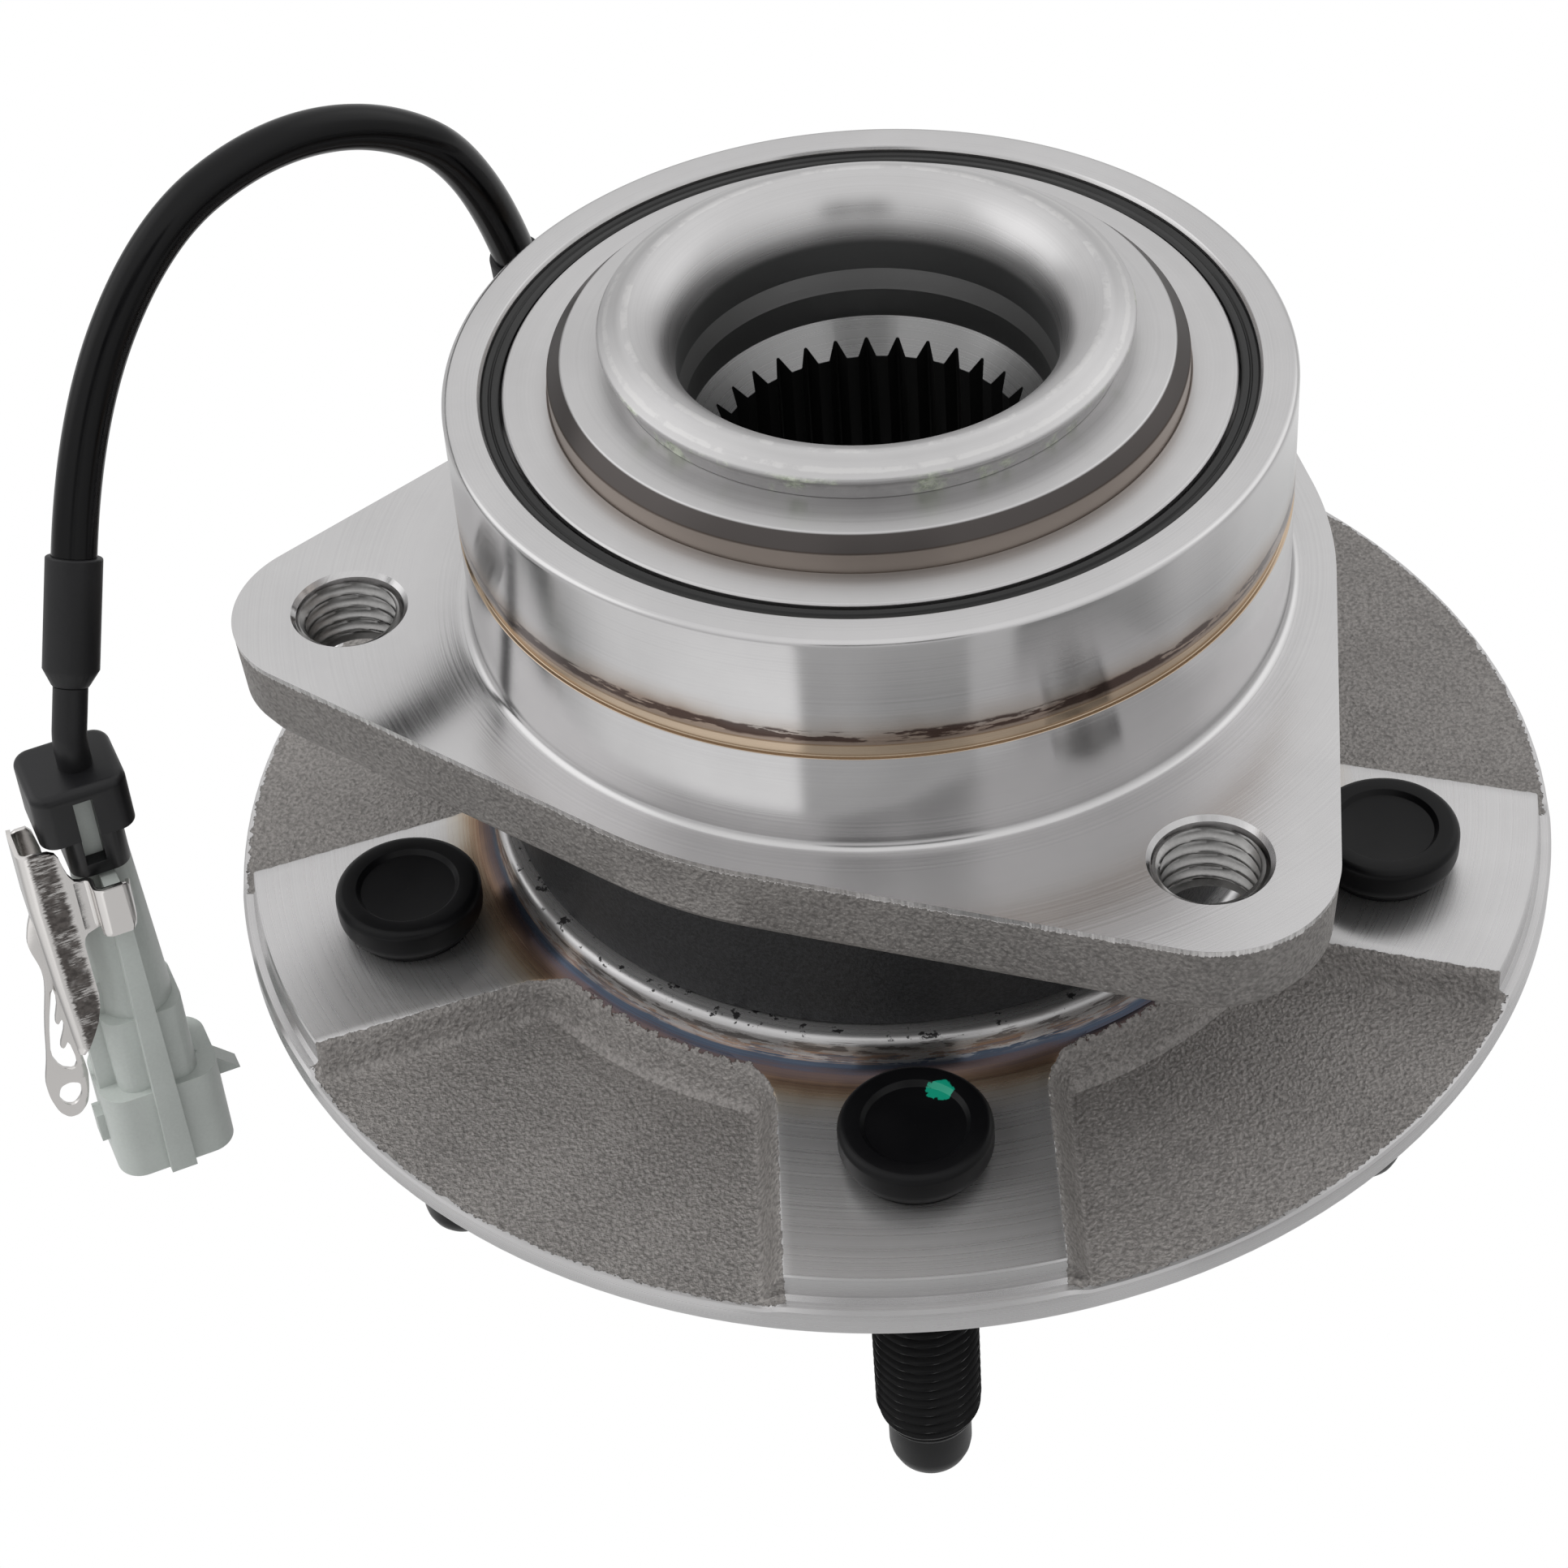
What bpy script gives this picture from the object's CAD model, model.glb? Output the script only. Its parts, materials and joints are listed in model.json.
"""Looks of a driven wheel hub unit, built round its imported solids.

Sizes in the code are millimetres in the part's own frame: Z is the hub's axis, z = 0 is the wheel's
mounting face and +Z points towards the drive shaft. Everything is turned into metres when a mesh is made.
"""

from __future__ import annotations

import json
import logging
import math
from dataclasses import dataclass, field, replace
from enum import Enum
from typing import Any, Mapping, Sequence, Union

import bmesh
import bpy
import numpy as np
from mathutils import Matrix, Vector


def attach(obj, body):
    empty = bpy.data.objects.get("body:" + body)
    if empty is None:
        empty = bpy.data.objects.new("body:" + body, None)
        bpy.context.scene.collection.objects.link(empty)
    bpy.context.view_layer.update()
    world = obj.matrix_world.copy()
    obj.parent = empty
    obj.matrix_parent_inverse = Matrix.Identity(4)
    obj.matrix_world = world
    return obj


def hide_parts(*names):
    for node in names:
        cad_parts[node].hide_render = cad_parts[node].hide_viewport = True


MM = 0.001
PER_METRE = 1000.0
QUARTER_TURN = 0.25
EAR_ANGLES = (60, 180, 300)
SHOULDER_RADIUS = 45.4
SHOULDER_TOP = 13.4
SPLINE_FACE = 60.2
SPLINE_FACE_SLOPE = 1.41
STUD_COUNT = 5
FIRST_STUD = -92.0
CONNECTOR_AXIS = (-88.9, -11.1)
CONNECTOR_YAW = 20.0
WHITE = (1.0, 1.0, 1.0)
THREAD_MEASURES = ("Radius", "Depth", "Pitch", "Low", "High", "Taper")

Point = tuple[float, float]
Spot = tuple[float, float, float]
Value = Union[bpy.types.NodeSocket, float]
Triple = Union[bpy.types.NodeSocket, Spot]
Sockets = Mapping[str, bpy.types.NodeSocket]

logging.basicConfig(level=logging.INFO, format="%(message)s")
log = logging.getLogger("hub unit")

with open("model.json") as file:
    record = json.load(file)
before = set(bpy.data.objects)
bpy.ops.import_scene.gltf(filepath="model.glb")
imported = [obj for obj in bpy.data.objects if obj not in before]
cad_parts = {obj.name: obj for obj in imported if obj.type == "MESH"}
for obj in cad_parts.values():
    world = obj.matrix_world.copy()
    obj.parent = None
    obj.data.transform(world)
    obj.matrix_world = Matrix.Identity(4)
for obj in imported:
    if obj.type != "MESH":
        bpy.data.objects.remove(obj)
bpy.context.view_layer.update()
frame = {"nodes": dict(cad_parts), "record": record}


class Body(str, Enum):
    """Rigid bodies that a piece can ride on."""

    CARRIER = "carrier"
    HUB = "wheel_hub"
    OUTBOARD_ROW = "outboard_row"
    INBOARD_ROW = "inboard_row"


class Surface(Enum):
    """How a piece is shaded: the angle in degrees above which an edge between faces stays sharp."""

    TURNED = 28.0
    MOULDED = 50.0


# Shader building


class Graph:
    """Short calls that add nodes to one tree and link them."""

    def __init__(self, tree: bpy.types.NodeTree) -> None:
        """Takes the tree that nodes are added to."""
        self.tree = tree

    def node(self, kind: str, inputs: dict | None = None, **settings: Any) -> bpy.types.Node:
        """Adds a shader node.

        Args:
            kind: Node type without the ShaderNode prefix.
            inputs: Socket name or index to a value or another node's socket.
            **settings: Properties of the node itself.

        Returns:
            The new node.
        """
        return self.add("ShaderNode" + kind, inputs, **settings)

    def add(self, kind: str, inputs: dict | None = None, **settings: Any) -> bpy.types.Node:
        """Adds a node by its full type.

        Args:
            kind: Full node type.
            inputs: Socket name or index to a value or another node's socket.
            **settings: Properties of the node itself.

        Returns:
            The new node.
        """
        made = self.tree.nodes.new(kind)
        for name, value in settings.items():
            setattr(made, name, value)
        for name, value in (inputs or {}).items():
            self.feed(made.inputs[name], value)
        return made

    def feed(self, socket: bpy.types.NodeSocket, value: Any) -> None:
        """Links a socket to another one, or gives it a constant.

        Args:
            socket: Socket that takes the value.
            value: A socket, or a constant.
        """
        if isinstance(value, bpy.types.NodeSocket):
            self.tree.links.new(value, socket)
        elif isinstance(value, (tuple, list)) and len(value) == 3 and socket.type == "RGBA":
            socket.default_value = (*value, 1.0)
        else:
            socket.default_value = value

    def math(self, operation: str, *values: Value, clamp: bool = False) -> bpy.types.NodeSocket:
        """Adds a maths node and returns its value."""
        made = self.node("Math", dict(enumerate(values)), operation=operation, use_clamp=clamp)
        return made.outputs[0]

    def vector(self, operation: str, *values: Triple) -> bpy.types.NodeSocket:
        """Adds a vector maths node and returns its vector."""
        return self.node("VectorMath", dict(enumerate(values)), operation=operation).outputs[0]

    def mix(self, factor: Value, first: Triple, second: Triple, blend: str = "MIX") -> bpy.types.NodeSocket:
        """Mixes two colours.

        Args:
            factor: Share of the second colour.
            first: First colour.
            second: Second colour.
            blend: How they are mixed.

        Returns:
            The mixed colour.
        """
        made = self.node("Mix", data_type="RGBA", blend_type=blend)
        self.feed(made.inputs[0], factor)
        self.feed(made.inputs[6], first)
        self.feed(made.inputs[7], second)
        return made.outputs[2]

    def lerp(self, factor: Value, first: Value, second: Value) -> bpy.types.NodeSocket:
        """Mixes two numbers.

        Args:
            factor: Share of the second number.
            first: First number.
            second: Second number.

        Returns:
            The mixed number.
        """
        made = self.node("Mix", data_type="FLOAT")
        self.feed(made.inputs[0], factor)
        self.feed(made.inputs[2], first)
        self.feed(made.inputs[3], second)
        return made.outputs[0]

    def times(self, first: Value, *others: Value) -> bpy.types.NodeSocket:
        """Multiplies values one after another.

        Args:
            first: First value.
            *others: Values to multiply it by.

        Returns:
            The product.
        """
        for value in others:
            first = self.math("MULTIPLY", first, value)
        return first

    def scaled(self, vector: Triple, factor: float) -> bpy.types.NodeSocket:
        """Multiplies a vector by a number."""
        return self.node("VectorMath", {0: vector, "Scale": factor}, operation="SCALE").outputs[0]

    def length(self, vector: Triple) -> bpy.types.NodeSocket:
        """Returns a vector's length."""
        return self.node("VectorMath", {0: vector}, operation="LENGTH").outputs["Value"]

    def dot(self, first: Triple, second: Triple) -> bpy.types.NodeSocket:
        """Returns two vectors' dot product."""
        made = self.node("VectorMath", {0: first, 1: second}, operation="DOT_PRODUCT")
        return made.outputs["Value"]

    def on_z(self, value: Value) -> bpy.types.NodeSocket:
        """Makes a vector that points up the axis by a value."""
        return self.node("CombineXYZ", {2: value}).outputs[0]

    def rise(
        self, value: Value, low: float, high: float, start: float = 0.0, end: float = 1.0
    ) -> bpy.types.NodeSocket:
        """Smooth step of a value from start at low to end at high."""
        names = {"Value": value, "From Min": low, "From Max": high, "To Min": start, "To Max": end}
        return self.node("MapRange", names, interpolation_type="SMOOTHSTEP").outputs[0]

    def fall(self, value: Value, low: float, high: float) -> bpy.types.NodeSocket:
        """Smooth step of a value from 1 at low to 0 at high."""
        return self.rise(value, low, high, 1.0, 0.0)

    def noise(self, vector: Triple, scale: Value, detail: float, rough: float) -> bpy.types.NodeSocket:
        """Adds a noise texture and returns its value, about 0.5 on average."""
        names = {"Vector": vector, "Scale": scale, "Detail": detail, "Roughness": rough}
        return self.node("TexNoise", names).outputs[0]

    def tint(self, color: Triple, tone: Value) -> bpy.types.NodeSocket:
        """Multiplies a colour by a grey tone."""
        grey = self.node("CombineXYZ", {0: tone, 1: tone, 2: tone}).outputs[0]
        return self.mix(1.0, color, grey, "MULTIPLY")

    def ramp(self, value: Value, stops: Sequence[tuple]) -> bpy.types.Node:
        """Looks a value up in a row of stops.

        Args:
            value: Value between the first and the last stop's place.
            stops: Place, colour and amount of each stop.

        Returns:
            The node, with its colour and its amount as Alpha.
        """
        low, high = stops[0][0], stops[-1][0]
        share = self.node("MapRange", {"Value": value, "From Min": low, "From Max": high}).outputs[0]
        made = self.node("ValToRGB", {0: share})
        band = made.color_ramp.elements
        while len(band) < len(stops):
            band.new(0.5)
        for item, (place, color, amount) in zip(band, stops):
            item.position = (place - low) / (high - low)
            item.color = (*color, amount)
        return made

    def group(self, tree: bpy.types.NodeTree, **inputs: Any) -> bpy.types.Node:
        """Adds a node group.

        Args:
            tree: The group's tree.
            **inputs: Its inputs by name, with _ for a space.

        Returns:
            The new node.
        """
        made = self.tree.nodes.new("ShaderNodeGroup")
        made.node_tree = tree
        for name, value in inputs.items():
            self.feed(made.inputs[name.replace("_", " ").capitalize()], value)
        return made


class Library:
    """Node groups that the finishes share, each built on first use."""

    made: dict[str, bpy.types.NodeTree] = {}

    @classmethod
    def get(cls, name: str) -> bpy.types.NodeTree:
        """Finds a group, and builds it on first use.

        Args:
            name: Name of its builder method.

        Returns:
            The group's tree.
        """
        if name not in cls.made:
            cls.made[name] = getattr(cls, name)()
        return cls.made[name]

    @staticmethod
    def start(name: str, inputs: dict[str, float | tuple], outputs: dict[str, str]) -> tuple:
        """Starts a group.

        Args:
            name: Name of the group.
            inputs: Socket name to default; a tuple makes a vector socket.
            outputs: Socket name to socket type.

        Returns:
            The tree, its graph, the inputs' sockets by name and the output node.
        """
        tree = bpy.data.node_groups.new(name, "ShaderNodeTree")
        for label, value in inputs.items():
            kind = "NodeSocketVector" if isinstance(value, tuple) else "NodeSocketFloat"
            tree.interface.new_socket(label, in_out="INPUT", socket_type=kind).default_value = value
        for label, kind in outputs.items():
            tree.interface.new_socket(label, in_out="OUTPUT", socket_type=kind)
        graph = Graph(tree)
        given = tree.nodes.new("NodeGroupInput").outputs
        end = tree.nodes.new("NodeGroupOutput")
        return tree, graph, given, end

    @staticmethod
    def row_place() -> bpy.types.NodeTree:
        """Place in the part's frame in millimetres, with the way out from the axis and the tangent.

        Returns:
            The group's tree.
        """
        outputs = dict.fromkeys(("Radius", "Height"), "NodeSocketFloat")
        outputs.update(dict.fromkeys(("Point", "Direction", "Tangent"), "NodeSocketVector"))
        tree, g, _, end = Library.start("row place", {}, outputs)
        spot = g.scaled(g.node("TexCoord").outputs["Object"], PER_METRE)
        parts = g.node("SeparateXYZ", {0: spot}).outputs
        flat = g.node("CombineXYZ", {0: parts[0], 1: parts[1]}).outputs[0]
        radius = g.length(flat)
        direction = g.vector("NORMALIZE", flat)
        around = g.vector("CROSS_PRODUCT", (0.0, 0.0, 1.0), direction)
        spaces = {"vector_type": "VECTOR", "convert_from": "OBJECT", "convert_to": "WORLD"}
        turned = g.node("VectorTransform", {0: around}, **spaces)
        for name, value in (
            ("Radius", radius),
            ("Height", parts[2]),
            ("Point", spot),
            ("Direction", direction),
            ("Tangent", turned.outputs[0]),
        ):
            g.feed(end.inputs[name], value)
        return tree

    @staticmethod
    def turning_marks() -> bpy.types.NodeTree:
        """Fine rings left by a lathe: a height for bump and a tone about 0.5.

        Returns:
            The group's tree.
        """
        tree, g, given, end = Library.start(
            "turning marks",
            {"Radius": 0.0, "Height": 0.0, "Direction": (0.0, 0.0, 0.0), "Feed": 0.15},
            {"Relief": "NodeSocketFloat", "Tone": "NodeSocketFloat"},
        )
        wander = g.scaled(given["Direction"], 0.03)
        along = g.math("ADD", given["Radius"], given["Height"])
        step = g.math("DIVIDE", along, given["Feed"])
        fine = g.noise(g.vector("ADD", g.on_z(step), wander), 1.0, 2.0, 0.6)
        broad = g.noise(g.vector("ADD", g.on_z(g.times(step, 0.16)), wander), 1.0, 2.0, 0.6)
        g.feed(end.inputs["Relief"], fine)
        g.feed(end.inputs["Tone"], g.lerp(0.15, fine, broad))
        return tree

    @staticmethod
    def forged_skin() -> bpy.types.NodeTree:
        """Shot-blasted forging: grain for bump, and a tone about 0.5.

        Returns:
            The group's tree.
        """
        tree, g, given, end = Library.start(
            "forged skin",
            {"Point": (0.0, 0.0, 0.0), "Grain": 0.55},
            {"Relief": "NodeSocketFloat", "Tone": "NodeSocketFloat"},
        )
        per_grain = g.math("DIVIDE", 1.0, given["Grain"])
        cell = g.node("TexVoronoi", {"Vector": given["Point"], "Scale": per_grain}, feature="SMOOTH_F1")
        fine = g.noise(given["Point"], g.times(per_grain, 0.9), 3.0, 0.7)
        soft = g.noise(given["Point"], 0.07, 4.0, 0.6)
        pits = g.math("SUBTRACT", 1.0, cell.outputs["Distance"])
        grains = g.lerp(0.6, pits, fine)
        g.feed(end.inputs["Relief"], g.math("ADD", grains, g.times(soft, 0.3)))
        g.feed(end.inputs["Tone"], g.lerp(0.2, g.lerp(0.7, pits, fine), soft))
        return tree

    @staticmethod
    def wobbly_band() -> bpy.types.NodeTree:
        """Mask of a band of values whose edges wander.

        Returns:
            The group's tree.
        """
        inputs = {"Value": 0.0, "Low": 0.0, "High": 1.0, "Edge": 0.1}
        inputs.update({"Point": (0.0, 0.0, 0.0), "Scale": 0.3, "Wander": 0.3})
        tree, g, given, end = Library.start("wobbly band", inputs, {"Mask": "NodeSocketFloat"})
        shift = g.noise(given["Point"], given["Scale"], 4.0, 0.6)
        offset = g.times(g.math("SUBTRACT", shift, 0.5), given["Wander"])
        value = g.math("ADD", given["Value"], offset)
        above = g.math("DIVIDE", g.math("SUBTRACT", value, given["Low"]), given["Edge"])
        below = g.math("DIVIDE", g.math("SUBTRACT", given["High"], value), given["Edge"])
        first = g.math("ADD", above, 0.5, clamp=True)
        second = g.math("ADD", below, 0.5, clamp=True)
        g.feed(end.inputs["Mask"], g.times(first, second))
        return tree

    @staticmethod
    def patches() -> bpy.types.NodeTree:
        """Mask of irregular patches: more of them as Share rises.

        Returns:
            The group's tree.
        """
        tree, g, given, end = Library.start(
            "patches",
            {"Point": (0.0, 0.0, 0.0), "Scale": 0.5, "Share": 0.4, "Edge": 0.05},
            {"Mask": "NodeSocketFloat"},
        )
        cloud = g.noise(given["Point"], given["Scale"], 5.0, 0.65)
        border = g.math("SUBTRACT", 0.75, g.times(given["Share"], 0.5))
        gap = g.math("SUBTRACT", cloud, border)
        g.feed(end.inputs["Mask"], g.math("ADD", g.math("DIVIDE", gap, given["Edge"]), 0.5, clamp=True))
        return tree


@dataclass
class Look:
    """What a finish gives its shader, as sockets or constants, with the relief in millimetres."""

    color: Any
    metal: Any = 0.0
    rough: Any = 0.4
    relief: Any = 0.0
    stretch: Any = 0.0
    gloss: Any = 0.5

    def under(self, g: Graph, mask: Value, top: Look) -> Look:
        """Lays another look over this one; what both share stays a constant.

        Args:
            g: Graph of the material.
            mask: Where the other look lies.
            top: The other look.

        Returns:
            The combined look.
        """
        rest = []
        for name in ("metal", "rough", "relief", "stretch", "gloss"):
            below, above = getattr(self, name), getattr(top, name)
            rest.append(below if below == above else g.lerp(mask, below, above))
        return Look(g.mix(mask, self.color, top.color), *rest)

    def stained(self, g: Graph, mask: Value, color: Triple) -> Look:
        """Returns this look with a colour over it where the mask is 1."""
        return replace(self, color=g.mix(mask, self.color, color))


class Finish:
    """A material, made once from the fields of the dataclass that extends it."""

    made: dict[object, bpy.types.Material] = {}

    def material(self) -> bpy.types.Material:
        """Builds the finish's material on first use.

        Returns:
            The material.
        """
        if self not in Finish.made:
            found = bpy.data.materials.new(type(self).__name__)
            found.use_nodes = True
            shader = found.node_tree.nodes["Principled BSDF"]
            g = Graph(found.node_tree)
            place = g.group(Library.get("row_place")).outputs
            look = self.look(g, place)
            for name, value in (
                ("Base Color", look.color),
                ("Metallic", look.metal),
                ("Roughness", look.rough),
                ("Anisotropic", look.stretch),
                ("Specular IOR Level", look.gloss),
                ("Anisotropic Rotation", QUARTER_TURN),
                ("Tangent", place["Tangent"]),
                ("Normal", g.node("Bump", {"Height": look.relief, "Distance": MM}).outputs[0]),
            ):
                g.feed(shader.inputs[name], value)
            Finish.made[self] = found
        return Finish.made[self]

    def look(self, g: Graph, place: Sockets) -> Look:
        """Works out what the shader is given.

        Args:
            g: Graph of the material.
            place: Outputs of the place group.

        Returns:
            The finish's look.
        """
        raise NotImplementedError


@dataclass(frozen=True)
class Machined(Finish):
    """Turned steel with fine rings round the hub's axis."""

    color: Spot = (0.555, 0.548, 0.55)
    rough: float = 0.28
    feed: float = 0.3
    relief: float = 0.012
    stretch: float = 0.85
    vary: float = 0.04
    metal: float = 1.0

    def look(self, g: Graph, place: Sockets) -> Look:
        """Rings in tone, gloss and relief, with what is on the bare metal.

        Args:
            g: Graph of the material.
            place: Outputs of the place group.

        Returns:
            The finish's look.
        """
        marks = g.group(
            Library.get("turning_marks"),
            radius=place["Radius"],
            height=place["Height"],
            direction=place["Direction"],
            feed=self.feed,
        ).outputs
        cloud = g.rise(g.noise(place["Point"], 0.07, 4.0, 0.6), 0.3, 0.7, -0.03, 0.03)
        tone = g.math("ADD", g.rise(marks["Tone"], 0.25, 0.75, 1.0 - self.vary, 1.0 + self.vary), cloud)
        rough = g.math("ADD", g.rise(marks["Tone"], 0.3, 0.7, -0.02, 0.03), self.rough)
        relief = g.times(marks["Relief"], self.relief)
        bare = Look(g.tint(self.color, tone), self.metal, rough, relief, self.stretch)
        return self.weather(g, place, bare)

    def weather(self, g: Graph, place: Sockets, look: Look) -> Look:
        """Adds what is on the bare metal."""
        return look


def band(
    g: Graph,
    value: Value,
    low: float,
    high: float,
    edge: float,
    wander: float = 0.0,
    point: Triple | None = None,
    scale: float = 0.25,
) -> bpy.types.NodeSocket:
    """Masks a band of values.

    Args:
        g: Graph of the material.
        value: What the band is measured on.
        low: Where the band begins.
        high: Where it ends.
        edge: Width over which each edge fades.
        wander: How far the edges stray, where a point is given.
        point: Place that the straying follows.
        scale: Scale of the straying.

    Returns:
        The mask.
    """
    inputs = {"value": value, "low": low, "high": high, "edge": edge, "scale": scale, "wander": wander}
    if point is not None:
        inputs["point"] = point
    return g.group(Library.get("wobbly_band"), **inputs).outputs[0]


def patches(g: Graph, point: Triple, scale: float, share: float, edge: float) -> bpy.types.NodeSocket:
    """Masks irregular patches: more of them as share rises."""
    return g.group(Library.get("patches"), point=point, scale=scale, share=share, edge=edge).outputs[0]


@dataclass(frozen=True)
class CarrierSteel(Machined):
    """The carrier: heat tint round its groove and a black barrel.

    Attributes:
        groove: Heights between which the groove is brass-coloured.
        tint_from: Height at which the heat tint starts.
        marks: Heights between which the dark marks lie.
        paint_top: Height below which the barrel is painted black.
    """

    groove: Point = (53.05, 55.05)
    tint_from: float = 54.8
    marks: Point = (55.45, 56.75)
    paint_top: float = 31.7

    def weather(self, g: Graph, place: Sockets, look: Look) -> Look:
        """Heat tint and dark marks at the groove, and black paint below.

        Args:
            g: Graph of the material.
            place: Outputs of the place group.
            look: Look of what lies below.

        Returns:
            The finish's look.
        """
        height, point = place["Height"], place["Point"]
        drift = g.noise(point, 0.05, 3.0, 0.6)
        brass = g.times(band(g, height, *self.groove, 0.1), 0.75)
        look = look.stained(g, brass, (0.45, 0.32, 0.19))
        stops = (
            (54.0, (0.2, 0.12, 0.06), 0.8),
            (56.0, (0.2, 0.115, 0.06), 0.72),
            (57.2, (0.3, 0.22, 0.15), 0.4),
            (59.5, (0.5, 0.45, 0.4), 0.0),
        )
        warm = g.ramp(g.math("SUBTRACT", height, g.rise(drift, 0.3, 0.7, -0.7, 0.9)), stops).outputs
        above = g.rise(height, self.tint_from, self.tint_from + 0.2)
        look = look.stained(g, g.times(above, warm["Alpha"]), warm["Color"])
        long_way = g.vector("MULTIPLY", point, (0.14, 0.14, 0.9))
        row = band(g, height, *self.marks, 0.25, 0.5, point, 0.5)
        dashes = g.times(patches(g, long_way, 1.0, 0.56, 0.03), row, 0.85)
        look = look.stained(g, dashes, (0.035, 0.015, 0.012))
        sand = g.noise(point, 2.4, 3.0, 0.7)
        black = g.tint((0.013, 0.0133, 0.0145), g.rise(sand, 0.35, 0.65, 0.6, 1.7))
        paint = Look(black, 0.0, 0.5, g.times(sand, 0.16), 0.0, 0.4)
        return look.under(g, g.fall(height, self.paint_top, self.paint_top + 0.2), paint)


@dataclass(frozen=True)
class HubSteel(Machined):
    """The hub: scorched shoulder, satin rolled rim, dark bore with a lighter step, a little grease.

    Attributes:
        rim_from: Height above which the rolled rim is satin.
        rim_in: Radii over which the satin begins.
        worn: Radii and share of each worn ring on the rim.
        bore_step: Heights of the lighter step in the bore.
        greased: Heights between which the grease lies.
        grease_in: Radius outside which it lies.
        scorched: Heights between which the shoulder's foot is scorched.
    """

    rim_from: float = 71.3
    rim_in: Point = (21.6, 23.4)
    worn: tuple = ((24.5, 25.2, 0.5), (26.7, 27.2, 0.62))
    bore_step: Point = (63.7, 66.1)
    greased: Point = (71.3, 74.6)
    grease_in: float = 26.2
    scorched: Point = (8.0, 15.0)

    def weather(self, g: Graph, place: Sockets, look: Look) -> Look:
        """Scorched shoulder, satin rim, dark bore and a little grease.

        Args:
            g: Graph of the material.
            place: Outputs of the place group.
            look: Look of what lies below.

        Returns:
            The finish's look.
        """
        height, radius, point = place["Height"], place["Radius"], place["Point"]
        look = self.scorch(g, place, look)
        rim = g.times(g.rise(height, self.rim_from, self.rim_from + 0.2), g.rise(radius, *self.rim_in))
        satin = Look(g.tint(look.color, 0.94), 1.0, 0.42, look.relief, 0.3)
        look = look.under(g, rim, satin)
        for low, high, share in self.worn:
            ring = g.times(band(g, radius, low, high, 0.15, 0.4, point, 0.8), rim)
            ring = g.times(ring, patches(g, point, 0.3, share, 0.08), 0.3)
            look = look.stained(g, ring, (0.75, 0.74, 0.73))
        above_face = g.rise(height, SPLINE_FACE, SPLINE_FACE + 0.1)
        bore = g.times(g.fall(radius, 20.1, 20.6), above_face, g.fall(height, 69.3, 70.3))
        look = look.under(g, bore, Look((0.28, 0.282, 0.285), 1.0, 0.38, look.relief, 0.4))
        step = g.times(bore, band(g, height, *self.bore_step, 0.1))
        look = look.stained(g, step, (0.42, 0.42, 0.42))
        below_face = g.fall(height, SPLINE_FACE, SPLINE_FACE + 0.1)
        face = g.times(g.fall(radius, 19.45, 19.6), below_face, 0.8)
        look = look.stained(g, face, (0.24, 0.24, 0.24))
        outside = g.rise(radius, self.grease_in, self.grease_in + 0.3)
        grease = g.times(band(g, height, *self.greased, 0.3), outside)
        grease = g.times(grease, patches(g, point, 0.2, 0.33, 0.1))
        streaky = g.noise(point, 1.2, 4.0, 0.7)
        pale = g.mix(g.rise(streaky, 0.35, 0.6), (0.3, 0.34, 0.26), (0.6, 0.64, 0.53))
        paste = Look(pale, 0.0, 0.35, g.times(streaky, 0.12))
        return look.under(g, grease, paste)

    def scorch(self, g: Graph, place: Sockets, look: Look) -> Look:
        """Heat colours in rings round the foot of the shoulder.

        Args:
            g: Graph of the material.
            place: Outputs of the place group.
            look: Look of what lies below.

        Returns:
            The look with the heat colours over it.
        """
        height, radius, point = place["Height"], place["Radius"], place["Point"]
        slant = g.math("SUBTRACT", radius, height)
        way_out = g.math("SUBTRACT", slant, SHOULDER_RADIUS - SHOULDER_TOP)
        drift = g.rise(g.noise(point, 0.07, 3.0, 0.6), 0.3, 0.7, -0.5, 0.5)
        rings = g.vector("ADD", g.on_z(g.times(way_out, 4.0)), g.scaled(point, 0.03))
        lines = g.rise(g.noise(rings, 1.0, 3.0, 0.7), 0.3, 0.7, -0.35, 0.35)
        stops = (
            (-0.6, (0.55, 0.55, 0.55), 0.0),
            (0.7, (0.2, 0.18, 0.17), 0.1),
            (1.0, (0.07, 0.06, 0.058), 0.8),
            (1.7, (0.09, 0.075, 0.07), 0.75),
            (2.1, (0.25, 0.16, 0.12), 0.6),
            (2.4, (0.42, 0.23, 0.12), 0.8),
            (2.7, (0.08, 0.11, 0.17), 0.85),
            (3.0, (0.34, 0.2, 0.12), 0.8),
            (3.4, (0.04, 0.07, 0.12), 0.92),
            (4.2, (0.03, 0.047, 0.085), 0.93),
            (4.9, (0.05, 0.028, 0.035), 0.92),
            (5.9, (0.07, 0.03, 0.018), 0.9),
            (7.2, (0.19, 0.09, 0.03), 0.85),
            (8.4, (0.33, 0.2, 0.08), 0.7),
            (10.0, (0.45, 0.36, 0.22), 0.35),
            (12.5, (0.55, 0.5, 0.4), 0.0),
        )
        tint = g.ramp(g.math("ADD", g.math("ADD", way_out, drift), lines), stops).outputs
        bottom, top = self.scorched
        low_down = g.times(g.fall(height, top, top + 0.2), g.rise(height, bottom, bottom + 0.3))
        long_way = g.vector("MULTIPLY", point, (0.3, 0.3, 0.0))
        long_way = g.vector("ADD", g.on_z(g.times(way_out, 1.4)), long_way)
        flakes = g.times(patches(g, long_way, 1.0, 0.5, 0.04), g.rise(way_out, 2.6, 4.0, 0.8, 0.0))
        amount = g.times(tint["Alpha"], low_down, g.math("SUBTRACT", 1.0, flakes))
        look = look.stained(g, amount, tint["Color"])
        inward = band(g, way_out, -9.0, 0.1, 0.2, 0.7, point, 0.8)
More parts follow.
